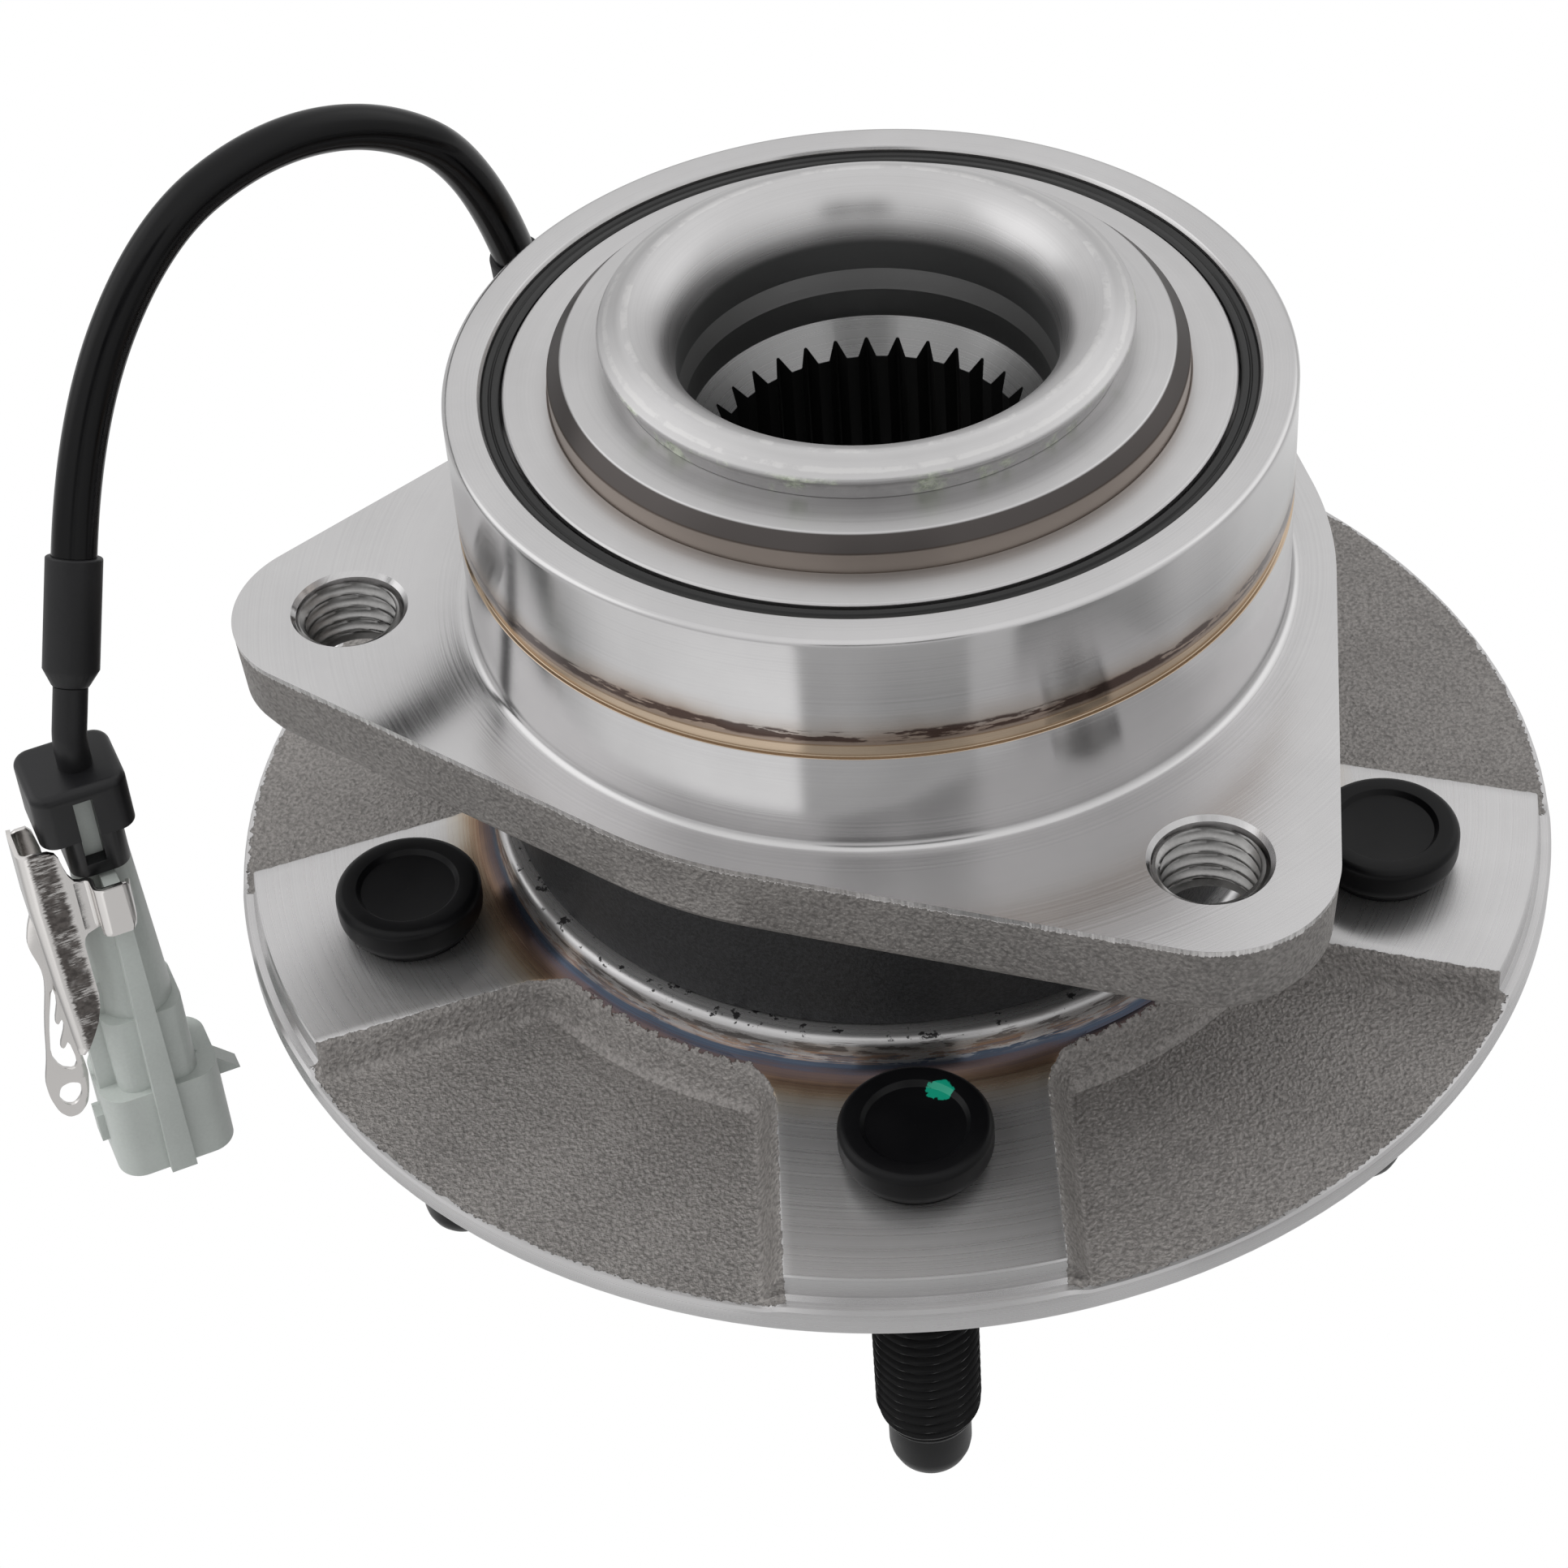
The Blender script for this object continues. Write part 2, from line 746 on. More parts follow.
        soot = g.times(patches(g, point, 0.7, 0.3, 0.03), inward, low_down)
        return look.under(g, soot, Look((0.02, 0.019, 0.02), 0.3, 0.45, look.relief))


@dataclass(frozen=True)
class SplineSteel(HubSteel):
    """The splined bore: a mid-grey conical face, and dark flanks below it."""

    def weather(self, g: Graph, place: Sockets, look: Look) -> Look:
        """Mid-grey face, and flanks that darken with depth.

        Args:
            g: Graph of the material.
            place: Outputs of the place group.
            look: Look of what lies below.

        Returns:
            The finish's look.
        """
        cone = g.math("SUBTRACT", place["Height"], g.times(place["Radius"], SPLINE_FACE_SLOPE))
        look = look.stained(g, 0.8, (0.27, 0.27, 0.27))
        deep = g.rise(place["Height"], 20.0, 58.0)
        dark = g.mix(deep, (0.004, 0.004, 0.004), (0.018, 0.018, 0.018))
        return look.under(g, g.fall(cone, 32.6, 32.68), Look(dark, 0.6, 0.35))


@dataclass(frozen=True)
class RingSteel(Machined):
    """The inner ring: satin top face, dark brown chamfer and a lighter brown wall.

    Attributes:
        wall_at: Radius outside which the wall is brown.
        wall_top: Height below which it is.
        chamfer_at: Radius and height added, outside which the chamfer lies.
        chamfer: Heights between which it lies.
    """

    wall_at: float = 33.3
    wall_top: float = 71.0
    chamfer_at: float = 103.1
    chamfer: Point = (69.7, 71.2)

    def weather(self, g: Graph, place: Sockets, look: Look) -> Look:
        """Brown wall and a darker chamfer.

        Args:
            g: Graph of the material.
            place: Outputs of the place group.
            look: Look of what lies below.

        Returns:
            The finish's look.
        """
        height, radius = place["Height"], place["Radius"]
        outside = g.rise(radius, self.wall_at, self.wall_at + 0.1)
        wall = g.times(outside, g.fall(height, self.wall_top, self.wall_top + 0.1), 0.85)
        slant = g.rise(g.math("ADD", height, radius), self.chamfer_at, self.chamfer_at + 0.1)
        low, high = self.chamfer
        chamfer = g.times(g.rise(height, low, low + 0.2), slant, g.fall(height, high, high + 0.15), 0.9)
        look = look.stained(g, wall, (0.31, 0.255, 0.215))
        return look.stained(g, chamfer, (0.03, 0.022, 0.019))


@dataclass(frozen=True)
class Forged(Finish):
    """Shot-blasted forging with a sandy grain."""

    color: Spot = (0.26, 0.246, 0.236)
    rough: float = 0.52
    grain: float = 0.42
    relief: float = 0.34
    metal: float = 0.6

    def look(self, g: Graph, place: Sockets) -> Look:
        """Grain in tone and relief.

        Args:
            g: Graph of the material.
            place: Outputs of the place group.

        Returns:
            The finish's look.
        """
        skin = g.group(Library.get("forged_skin"), point=place["Point"], grain=self.grain).outputs
        tone = g.rise(skin["Tone"], 0.34, 0.66, 0.66, 1.36)
        relief = g.times(skin["Relief"], self.relief)
        return Look(g.tint(self.color, tone), self.metal, self.rough, relief)


@dataclass(frozen=True)
class PlateSide(Forged):
    """The plate's side, with a bright sheared band along its upper edge."""

    burr_from: float = 40.35

    def look(self, g: Graph, place: Sockets) -> Look:
        """The forged skin with the sheared band over it.

        Args:
            g: Graph of the material.
            place: Outputs of the place group.

        Returns:
            The finish's look.
        """
        skin = super().look(g, place)
        streaks = g.noise(g.vector("MULTIPLY", place["Point"], (2.0, 2.0, 0.2)), 1.0, 3.0, 0.65)
        lower = g.math("ADD", place["Height"], g.rise(streaks, 0.25, 0.75, -0.2, 0.2))
        mask = g.rise(lower, self.burr_from - 0.08, self.burr_from + 0.08)
        color = g.tint((0.72, 0.705, 0.7), g.rise(streaks, 0.3, 0.7, 0.7, 1.2))
        return skin.under(g, mask, Look(color, 0.9, 0.32, g.times(streaks, 0.08)))


@dataclass(frozen=True)
class FlangeSteel(HubSteel):
    """The flange: turned pads, with the forging's skin where the mesh's skin value is high."""

    forging: Forged = Forged()

    def look(self, g: Graph, place: Sockets) -> Look:
        """Turned steel, with the forged skin over it by the mesh's skin value.

        Args:
            g: Graph of the material.
            place: Outputs of the place group.

        Returns:
            The finish's look.
        """
        turned = super().look(g, place)
        skin = g.node("Attribute", attribute_name="skin").outputs["Fac"]
        rag = g.rise(g.noise(place["Point"], 1.1, 4.0, 0.65), 0.25, 0.75, -0.4, 0.4)
        mask = g.rise(g.math("ADD", skin, rag), 0.46, 0.54)
        return turned.under(g, mask, self.forging.look(g, place))


@dataclass(frozen=True)
class Plain(Finish):
    """A plain coating, plastic or rubber with a little grain."""

    color: Spot
    rough: float = 0.4
    metal: float = 0.0
    grain: float = 0.4
    relief: float = 0.005
    vary: float = 0.12
    gloss: float = 0.5

    def look(self, g: Graph, place: Sockets) -> Look:
        """Fine grain and soft clouds in tone, with what is on the surface.

        Args:
            g: Graph of the material.
            place: Outputs of the place group.

        Returns:
            The finish's look.
        """
        fine = g.noise(place["Point"], 1.0 / self.grain, 4.0, 0.6)
        cloud = g.noise(place["Point"], 0.15, 3.0, 0.5)
        tone = g.rise(g.lerp(0.5, fine, cloud), 0.3, 0.7, 1.0 - self.vary, 1.0 + self.vary)
        rough = g.rise(cloud, 0.3, 0.7, self.rough - 0.05, self.rough + 0.06)
        relief = g.times(fine, self.relief)
        bare = Look(g.tint(self.color, tone), self.metal, rough, relief, 0.0, self.gloss)
        return self.mark(g, place, bare)

    def mark(self, g: Graph, place: Sockets, look: Look) -> Look:
        """Adds what is on the plain surface."""
        return look


@dataclass(frozen=True)
class StudCoat(Plain):
    """Black stud coating, with an inspection dot of paint on one head."""

    dot: Spot = (0.99, -52.8, 13.8)
    size: float = 1.3

    def mark(self, g: Graph, place: Sockets, look: Look) -> Look:
        """Paints the dot.

        Args:
            g: Graph of the material.
            place: Outputs of the place group.
            look: Look of what lies below.

        Returns:
            The finish's look.
        """
        away = g.vector("SUBTRACT", place["Point"], self.dot)
        away = g.length(g.vector("MULTIPLY", away, (0.85, 1.2, 0.6)))
        rag = g.rise(g.noise(place["Point"], 0.9, 3.0, 0.6), 0.3, 0.7, -0.3, 0.3)
        mask = g.fall(g.math("ADD", away, rag), self.size - 0.06, self.size + 0.06)
        return look.under(g, mask, Look((0.003, 0.27, 0.17), 0.0, 0.4, 0.0))


@dataclass(frozen=True)
class ClipSteel(Finish):
    """Bright spring steel, with a dark mottled field on the front plate and brushed patches in it."""

    def look(self, g: Graph, place: Sockets) -> Look:
        """Bright steel with the mottled field over it.

        Args:
            g: Graph of the material.
            place: Outputs of the place group.

        Returns:
            The finish's look.
        """
        point = place["Point"]
        c, s, _ = polar(1.0, CONNECTOR_YAW)
        away = g.vector("SUBTRACT", point, (*CONNECTOR_AXIS, 0.0))
        across, depth = g.dot(away, (c, s, 0.0)), g.dot(away, (-s, c, 0.0))
        height = place["Height"]
        brushed = g.node("CombineXYZ", {0: g.times(across, 0.5), 2: g.times(height, 3.0)}).outputs[0]
        streaks = g.noise(brushed, 1.0, 4.0, 0.7)
        middle = g.math("ADD", across, g.times(height, 0.03))
        middle = g.math("ADD", middle, g.rise(streaks, 0.3, 0.7, -0.25, 0.25))
        worn = g.times(g.rise(streaks, 0.46, 0.6), g.rise(g.noise(point, 0.3, 3.0, 0.5), 0.42, 0.6), 0.75)
        mottled = g.times(
            g.rise(middle, -7.5, -7.1),
            g.fall(middle, -4.9, -4.3),
            g.fall(depth, -4.5, -4.4),
            g.math("SUBTRACT", 1.0, worn),
        )
        bright = Look((0.66, 0.64, 0.625), 1.0, 0.17, g.times(streaks, 0.004))
        shade = g.rise(g.noise(point, 1.5, 3.0, 0.6), 0.3, 0.7, 0.7, 1.3)
        return bright.under(g, mottled, Look(g.tint((0.1, 0.09, 0.085), shade), 1.0, 0.3))


# Mesh building


def polar(radius: float, angle: float, height: float = 0.0) -> Spot:
    """Point at a radius, an angle in degrees and a height."""
    turn = math.radians(angle)
    return (radius * math.cos(turn), radius * math.sin(turn), height)


def put(name: str, data: bpy.types.ID) -> bpy.types.Object:
    """Links data to the scene as an object.

    Args:
        name: Name of the object.
        data: Its mesh, curve, light or camera.

    Returns:
        The object.
    """
    made = bpy.data.objects.new(name, data)
    bpy.context.scene.collection.objects.link(made)
    return made


def settled(name: str, shape: bmesh.types.BMesh) -> bpy.types.Mesh:
    """Turns a bmesh into a mesh and frees it.

    Args:
        name: Name of the mesh.
        shape: The bmesh.

    Returns:
        The mesh.
    """
    mesh = bpy.data.meshes.new(name)
    shape.to_mesh(mesh)
    shape.free()
    return mesh


def make_object(
    name: str, mesh: bpy.types.Mesh, finishes: Sequence[Finish], surface: Surface
) -> bpy.types.Object:
    """Links a mesh to the scene with its finishes and shading.

    Args:
        name: Name of the piece.
        mesh: Its mesh, in metres.
        finishes: One finish for each material index that the faces use.
        surface: How its edges are shaded.

    Returns:
        The new object.
    """
    for finish in finishes:
        mesh.materials.append(finish.material())
    mesh.shade_smooth()
    mesh.set_sharp_from_angle(angle=math.radians(surface.value))
    made = put(name, mesh)
    log.info("%s: %d faces", name, len(mesh.polygons))
    return made


def grid_mesh(name: str, points: np.ndarray, close_across: bool = True) -> bpy.types.Mesh:
    """Makes a mesh of a grid of points.

    Args:
        name: Name of the mesh.
        points: Rows by columns by three, in millimetres.
        close_across: Whether the columns close into a ring.

    Returns:
        The mesh, in metres.
    """
    rows, columns = points.shape[:2]
    index = np.arange(rows * columns).reshape(rows, columns)
    nxt = np.roll(index, -1, axis=1)
    last = columns if close_across else columns - 1
    quads = np.stack((index[:-1], nxt[:-1], nxt[1:], index[1:]), axis=-1)[:, :last].reshape(-1, 4)
    mesh = bpy.data.meshes.new(name)
    mesh.from_pydata((points.reshape(-1, 3) * MM).tolist(), [], quads.tolist())
    return mesh


def rounded(outline: Sequence[Point], radius: float, steps: int = 4) -> list[Point]:
    """Rounds the corners of an open outline.

    Args:
        outline: Points in order.
        radius: Radius of each corner, cut down where a side is short.
        steps: Points along each rounded corner.

    Returns:
        The new outline.
    """
    result = [outline[0]]
    for before, corner, after in zip(outline, outline[1:], outline[2:]):
        a, b, c = (np.array(p, float) for p in (before, corner, after))
        u, v = a - b, c - b
        lu, lv = np.linalg.norm(u), np.linalg.norm(v)
        turn = math.acos(max(-1.0, min(1.0, float(u @ v) / (lu * lv))))
        if turn > math.radians(172):
            result.append(corner)
            continue
        reach = min(radius / math.tan(turn / 2), 0.45 * lu, 0.45 * lv)
        p, q = b + u / lu * reach, b + v / lv * reach
        weight = math.sin(turn / 2)
        for k in range(steps + 1):
            t = k / steps
            w = ((1 - t) ** 2, 2 * t * (1 - t) * weight, t * t)
            result.append(tuple((w[0] * p + w[1] * b + w[2] * q) / sum(w)))
    result.append(outline[-1])
    return result


def arc(centre: Point, radius: float, start: float, end: float, steps: int = 12) -> list[Point]:
    """Points of an arc between two angles in degrees."""
    angles = np.radians(np.linspace(start, end, steps + 1))
    return [(centre[0] + radius * math.cos(a), centre[1] + radius * math.sin(a)) for a in angles]


def circle(centre: Point, radius: float, step: float) -> list[Point]:
    """Points all round a circle, a step in degrees apart."""
    angles = np.radians(np.arange(0, 360, step))
    return [(centre[0] + radius * math.cos(a), centre[1] + radius * math.sin(a)) for a in angles]


def convex_hull(points: Sequence[Point]) -> np.ndarray:
    """Finds the convex outline round some points.

    Args:
        points: The points.

    Returns:
        Its corners in order.
    """
    spots = sorted(set((round(x, 6), round(y, 6)) for x, y in points))

    def half(points: Sequence[Point]) -> list[Point]:
        """One side of the outline.

        Args:
            points: Points in order.

        Returns:
            Corners of that side.
        """
        chain = []
        for p in points:
            while len(chain) > 1:
                (ax, ay), (bx, by) = chain[-2:]
                if (bx - ax) * (p[1] - ay) - (by - ay) * (p[0] - ax) > 0:
                    break
                chain.pop()
            chain.append(p)
        return chain[:-1]

    return np.array(half(spots) + half(spots[::-1]))


def lathe_points(profile: Sequence[Point], segments: int) -> np.ndarray:
    """Turns a profile round the axis.

    Args:
        profile: Radius and height of each point.
        segments: Steps round the axis.

    Returns:
        A grid of points.
    """
    turn = np.linspace(0, 2 * math.pi, segments, endpoint=False)
    section = np.array(profile, float)
    radius, height = section[:, :1], section[:, 1:]
    return np.stack((radius * np.cos(turn), radius * np.sin(turn), height + 0 * turn), axis=-1)


def lathe(name: str, profile: Sequence[Point], finish: Finish, segments: int = 288) -> bpy.types.Object:
    """Turned piece from an open profile of radius and height."""
    mesh = grid_mesh(name, lathe_points(profile, segments))
    return make_object(name, mesh, [finish], Surface.TURNED)


def from_cad(node: str, finish: Finish, soften: float) -> bpy.types.Object:
    """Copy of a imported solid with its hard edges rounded.

    Args:
        node: Name of the solid.
        finish: Its finish.
        soften: Radius of the rounding in millimetres; none at 0.

    Returns:
        The copy, which stands for the solid.
    """
    shape = bmesh.new()
    shape.from_mesh(frame["nodes"][node].data)
    bmesh.ops.remove_doubles(shape, verts=shape.verts, dist=0.002 * MM)
    bmesh.ops.dissolve_limit(shape, angle_limit=math.radians(1.0), verts=shape.verts, edges=shape.edges)
    made = make_object(node + "_skin", settled(node, shape), [finish], Surface.MOULDED)
    if soften:
        edge = made.modifiers.new("soften", "BEVEL")
        edge.width = soften * MM
        edge.segments = 3
        edge.angle_limit = math.radians(35)
        edge.limit_method = "ANGLE"
        edge.use_clamp_overlap = True
        edge.harden_normals = True
        flatten(made)
    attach(made, body_of(node).value)
    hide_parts(node)
    return made


def flatten(made: bpy.types.Object) -> None:
    """Turns an object's modifiers into plain mesh.

    Args:
        made: The object.
    """
    shown = made.evaluated_get(bpy.context.evaluated_depsgraph_get())
    flat = bpy.data.meshes.new_from_object(shown)
    made.modifiers.clear()
    made.data = flat


def body_of(node: str) -> Body:
    """Finds the rigid body that a solid belongs to.

    Args:
        node: Name of the solid.

    Returns:
        The body.
    """
    for body, members in frame["record"]["behaviour"]["bodies"].items():
        if node in members:
            return Body(body)
    raise KeyError(node)


@dataclass(frozen=True)
class ThreadForm:
    """Screw thread as a strip of surface, worked out by a geometry node tree.

    Attributes:
        radius: Plain radius that the thread starts from.
        depth: Depth of the form; negative where it stands inwards from a hole's wall.
        pitch: Distance between turns.
        low: Lower end.
        high: Upper end.
        taper: Length over which the lower end runs out.
    """

    radius: float
    depth: float
    pitch: float
    low: float
    high: float
    taper: float = 2.0

    def tree(self) -> bpy.types.NodeTree:
        """Builds the node tree on first use.

        Returns:
            The node tree.
        """
        found = bpy.data.node_groups.get("thread form")
        if found:
            return found
        tree = bpy.data.node_groups.new("thread form", "GeometryNodeTree")
        sockets = [("Geometry", "Geometry")] + [(name, "Float") for name in THREAD_MEASURES]
        sockets += [("Columns", "Int"), ("Rows", "Int"), ("Finish", "Material")]
        for name, kind in sockets:
            tree.interface.new_socket(name, in_out="INPUT", socket_type="NodeSocket" + kind)
        tree.interface.new_socket("Geometry", in_out="OUTPUT", socket_type="NodeSocketGeometry")
        g = Graph(tree)
        given = tree.nodes.new("NodeGroupInput").outputs
        counts = {"Vertices X": given["Columns"], "Vertices Y": given["Rows"]}
        grid = g.add("GeometryNodeMeshGrid", {"Size X": 1.0, "Size Y": 1.0, **counts})
        spot = g.node("SeparateXYZ", {0: g.add("GeometryNodeInputPosition").outputs[0]}).outputs
        turn, share = g.math("ADD", spot[0], 0.5), g.math("ADD", spot[1], 0.5)
        length = g.math("SUBTRACT", given["High"], given["Low"])
        height = g.math("ADD", given["Low"], g.times(share, length))
        turns = g.math("SUBTRACT", g.math("DIVIDE", height, given["Pitch"]), turn)
        phase = g.math("FRACT", g.math("ADD", turns, 100.0))
        ramp = g.math("ABSOLUTE", g.math("SUBTRACT", g.times(phase, 2.0), 1.0))
        flank = g.math("MULTIPLY", g.math("SUBTRACT", ramp, 0.1), 1.3, clamp=True)
        above = g.math("SUBTRACT", height, given["Low"])
        gone = g.math("DIVIDE", above, given["Taper"], clamp=True)
        flank = g.math("MAXIMUM", flank, g.math("SUBTRACT", 1.0, gone))
        radius = g.math("SUBTRACT", given["Radius"], g.times(flank, given["Depth"]))
        angle = g.times(turn, 2 * math.pi)
        x, y = (g.times(radius, g.math(way, angle)) for way in ("COSINE", "SINE"))
        place = g.node("CombineXYZ", {0: x, 1: y, 2: height}).outputs[0]
        made = grid.outputs[0]
        for kind, inputs in (
            ("SetPosition", {"Position": place}),
            ("MergeByDistance", {"Distance": 1e-6}),
            ("RealizeInstances", {}),
            ("SetMaterial", {"Material": given["Finish"]}),
        ):
            made = g.add("GeometryNode" + kind, {"Geometry": made, **inputs}).outputs[0]
        g.add("NodeGroupOutput", {0: made})
        return tree

    def mesh(self, finish: Finish, columns: int = 64, per_turn: int = 10) -> bpy.types.Mesh:
        """Runs the tree once.

        Args:
            finish: Finish of the thread.
            columns: Faces round the axis.
            per_turn: Rows of points along each turn.

        Returns:
            A plain mesh on the axis, in metres.
        """
        tree = self.tree()
        carrier = put("thread", bpy.data.meshes.new("thread"))
        work = carrier.modifiers.new("thread", "NODES")
        work.node_group = tree
        rows = max(4, round((self.high - self.low) / self.pitch * per_turn))
        values = {"Columns": columns + 1, "Rows": rows, "Finish": finish.material()}
        for name in THREAD_MEASURES:
            values[name] = getattr(self, name.lower()) * MM
        for item in tree.interface.items_tree:
            if item.in_out == "INPUT" and item.name in values:
                work[item.identifier] = values[item.name]
        shown = carrier.evaluated_get(bpy.context.evaluated_depsgraph_get())
        made = bpy.data.meshes.new_from_object(shown)
        bpy.data.objects.remove(carrier)
        return made


def joined(name: str, meshes: Sequence[bpy.types.Mesh], shift: Sequence[float]) -> bpy.types.Mesh:
    """Joins meshes into one.

    Args:
        name: Name of the new mesh.
        meshes: The meshes.
        shift: How far it moves, in millimetres.

    Returns:
        The new mesh.
    """
    shape = bmesh.new()
    for mesh in meshes:
        shape.from_mesh(mesh)
    bmesh.ops.translate(shape, verts=shape.verts, vec=Vector(shift) * MM)
    bmesh.ops.recalc_face_normals(shape, faces=shape.faces)
    return settled(name, shape)


# Sub-assemblies

STEEL = HubSteel()
FLANGE_STEEL = FlangeSteel(relief=0.006, vary=0.06, metal=0.88)
SPLINE_STEEL = SplineSteel()
CARRIER_STEEL = CarrierSteel(rough=0.17, stretch=0.9)
PLATE_SIDE = PlateSide()
EAR_THREAD = Plain((0.34, 0.335, 0.33), rough=0.3, metal=1.0, relief=0.004)
BLACK_COAT = StudCoat((0.003, 0.003, 0.0035), rough=0.36, gloss=0.17)
SEAL_RUBBER = Plain((0.008, 0.008, 0.008), rough=0.32, gloss=0.35)
SLINGER_STEEL = Machined(rough=0.36, feed=0.4, relief=0.006, stretch=0.4)
RING_STEEL = RingSteel(rough=0.33)
SLEEVE = Plain((0.002, 0.002, 0.0024), rough=0.17, relief=0.002, gloss=0.2)
SHRINK = Plain((0.01, 0.01, 0.011), rough=0.45, relief=0.01, gloss=0.3)
COVER = Plain((0.008, 0.008, 0.009), rough=0.34, gloss=0.32)
PALE = Plain((0.50, 0.535, 0.51), rough=0.38, relief=0.004, vary=0.05)
CLIP = ClipSteel()
BALL = Plain((0.62, 0.62, 0.62), rough=0.12, metal=1.0)
CAGE = Plain((0.55, 0.46, 0.27), rough=0.45)
SINTER = Plain((0.2, 0.19, 0.18), rough=0.5, metal=0.9)
TIN = Plain((0.6, 0.55, 0.42), rough=0.3, metal=1.0)


@dataclass
class HubLooks:
    """The wheel flange with its pads and pockets, the shoulder, the rolled rim and the splined bore.

    Attributes:
        flange: Radius of the flange.
        rim: Height of the narrow step at its edge.
        pad_end: Radius at which the pads end.
        pad_top: Height of the pads.
        pad_half: Half the width of a pad.
        pocket_floor: Height of the forged floor between the pads.
        wall_end: Radius at which a pocket's inner wall reaches the floor.
        fillet: Radius of the fillet at the shoulder's foot.
        slope: Width of a pad's side, seen from above.
        corner: Radius of the corner where a pad meets the shoulder.
        pilot: Radius of the wheel pilot.
        seat: Radius and height of the nut seat at the bore's lower end.
        bore: Radius of the bore above the spline.
        bore_top: Height at which the bore opens into the funnel.
        face: Radius of the spline's face.
        teeth: Number of teeth of the spline.
    """

    flange: float = 75.3
    rim: float = 5.2
    pad_end: float = 73.6
    pad_top: float = 8.5
    pad_half: float = 14.2
    pocket_floor: float = 4.7
    wall_end: float = 49.8
    fillet: float = 3.0
    slope: float = 3.0
    corner: float = 5.5
    pilot: float = 32.0
    seat: Point = (17.5, 6.0)
    bore: float = 20.0
    bore_top: float = 69.5
    face: float = 19.5
    teeth: int = 33

    def build(self) -> None:
        """Makes the hub's pieces."""
        flange = self.flange_piece()
        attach(flange, Body.HUB.value)
        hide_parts("hub")
        for piece in (self.rim_piece(), self.spline_piece()):
            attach(piece, Body.HUB.value)

    def flange_piece(self) -> bpy.types.Object:
        """Flange whose section changes from pad to pocket as it goes round.

        Returns:
            The piece.
        """
        flat_start = SHOULDER_RADIUS + self.fillet
        top = [(37.0, 13.8), (37.6, SHOULDER_TOP)]
        top += arc((SHOULDER_RADIUS - 1.0, SHOULDER_TOP - 1.0), 1.0, 90, 0, 6)
        foot = arc((flat_start, self.pad_top + self.fillet), self.fillet, 180, 270, 10)
        far = np.linspace(5.0, self.pad_end - flat_start - 0.8, 21)
        steps = np.concatenate((np.linspace(0.4, 4.0, 9), far))
        flat = foot + [(flat_start + k, self.pad_top) for k in steps]
        pad = flat + [(self.pad_end - 0.15, self.pad_top), (self.pad_end, self.pad_top - 0.2)]
        pad += [(self.pad_end + 0.05, self.rim + 0.5), (self.pad_end + 0.5, self.rim)]
        pad += [(self.flange - 0.35, self.rim), (self.flange, self.rim - 0.35)]
        wall_start, wall_top = foot[5]
        pocket = foot[:6]
        for radius, _ in flat[6:]:
            share = min(1.0, (radius - wall_start) / (self.wall_end - wall_start))
            fall = share * share * (3 - 2 * share)
            pocket.append((radius, wall_top + (self.pocket_floor - wall_top) * fall))
        pocket += [(self.pad_end + 0.1 + k, self.pocket_floor) for k in (0.0, 0.2, 0.4, 0.7)]
        pocket += [(self.flange - 0.2, self.pocket_floor - 0.02), (self.flange, self.pocket_floor - 0.3)]
        under = [(self.flange, 2.2), (self.flange - 0.15, 1.85), (self.flange - 1.85, 0.15)]
        under += [(self.flange - 2.2, 0.0), (self.pilot, 0.0), (self.pilot, -7.4), (30.6, -9.0)]
        under += [(24.0, -9.0), (23.5, -8.5), (23.5, self.seat[1]), self.seat]
        a, b = np.array(top + pad + under), np.array(top + pocket + under)
        rough_rows = np.zeros(len(a))
        first = len(top) + 6
        rough_rows[first : len(top) + len(pad) - 2] = 1.0
        rough_rows[first : first + 2] = (0.45, 0.8)
        radius = np.maximum(a[:, 0], self.bore)
        dip = np.clip(SHOULDER_RADIUS + self.corner - radius, 0, self.corner)
        flare = self.corner - np.sqrt(np.maximum(self.corner**2 - dip**2, 0.0))
        narrow = self.pad_half * radius / SHOULDER_RADIUS
        reach = np.where(radius < SHOULDER_RADIUS - 1, narrow, self.pad_half + flare)
        edge = np.arcsin(np.clip(reach / radius, 0, 0.6))
        slope = self.slope / radius
        half = math.pi / STUD_COUNT
        on_pad, on_side = np.linspace(0, 1, 14, False), np.linspace(1, 2, 12, False)
        shares = np.concatenate((on_pad, on_side, np.linspace(2, 3, 11)))
        grid, skin = [], []
        for sector in range(STUD_COUNT):
            middle = math.radians(FIRST_STUD + sector * 360 / STUD_COUNT)
            for side, share in [(-1, s) for s in shares[:0:-1]] + [(1, s) for s in shares[:-1]]:
                mix = min(max(share - 1, 0.0), 1.0)
                angle = edge * min(share, 1.0) + slope * mix
                angle = angle + (half - edge - slope) * max(share - 2, 0.0)
                ease = mix * mix * (3 - 2 * mix)
                r, z = (a + (b - a) * ease).T
                turn = middle + side * angle
                grid.append(np.stack((r * np.cos(turn), r * np.sin(turn), z), axis=-1))
                skin.append(rough_rows * min(1.0, mix * 9))
        mesh = grid_mesh("hub_flange", np.stack(grid, axis=1))
        values = mesh.attributes.new("skin", "FLOAT", "POINT").data
        values.foreach_set("value", np.stack(skin, axis=1).ravel())
        return make_object("hub_flange", mesh, [FLANGE_STEEL], Surface.TURNED)

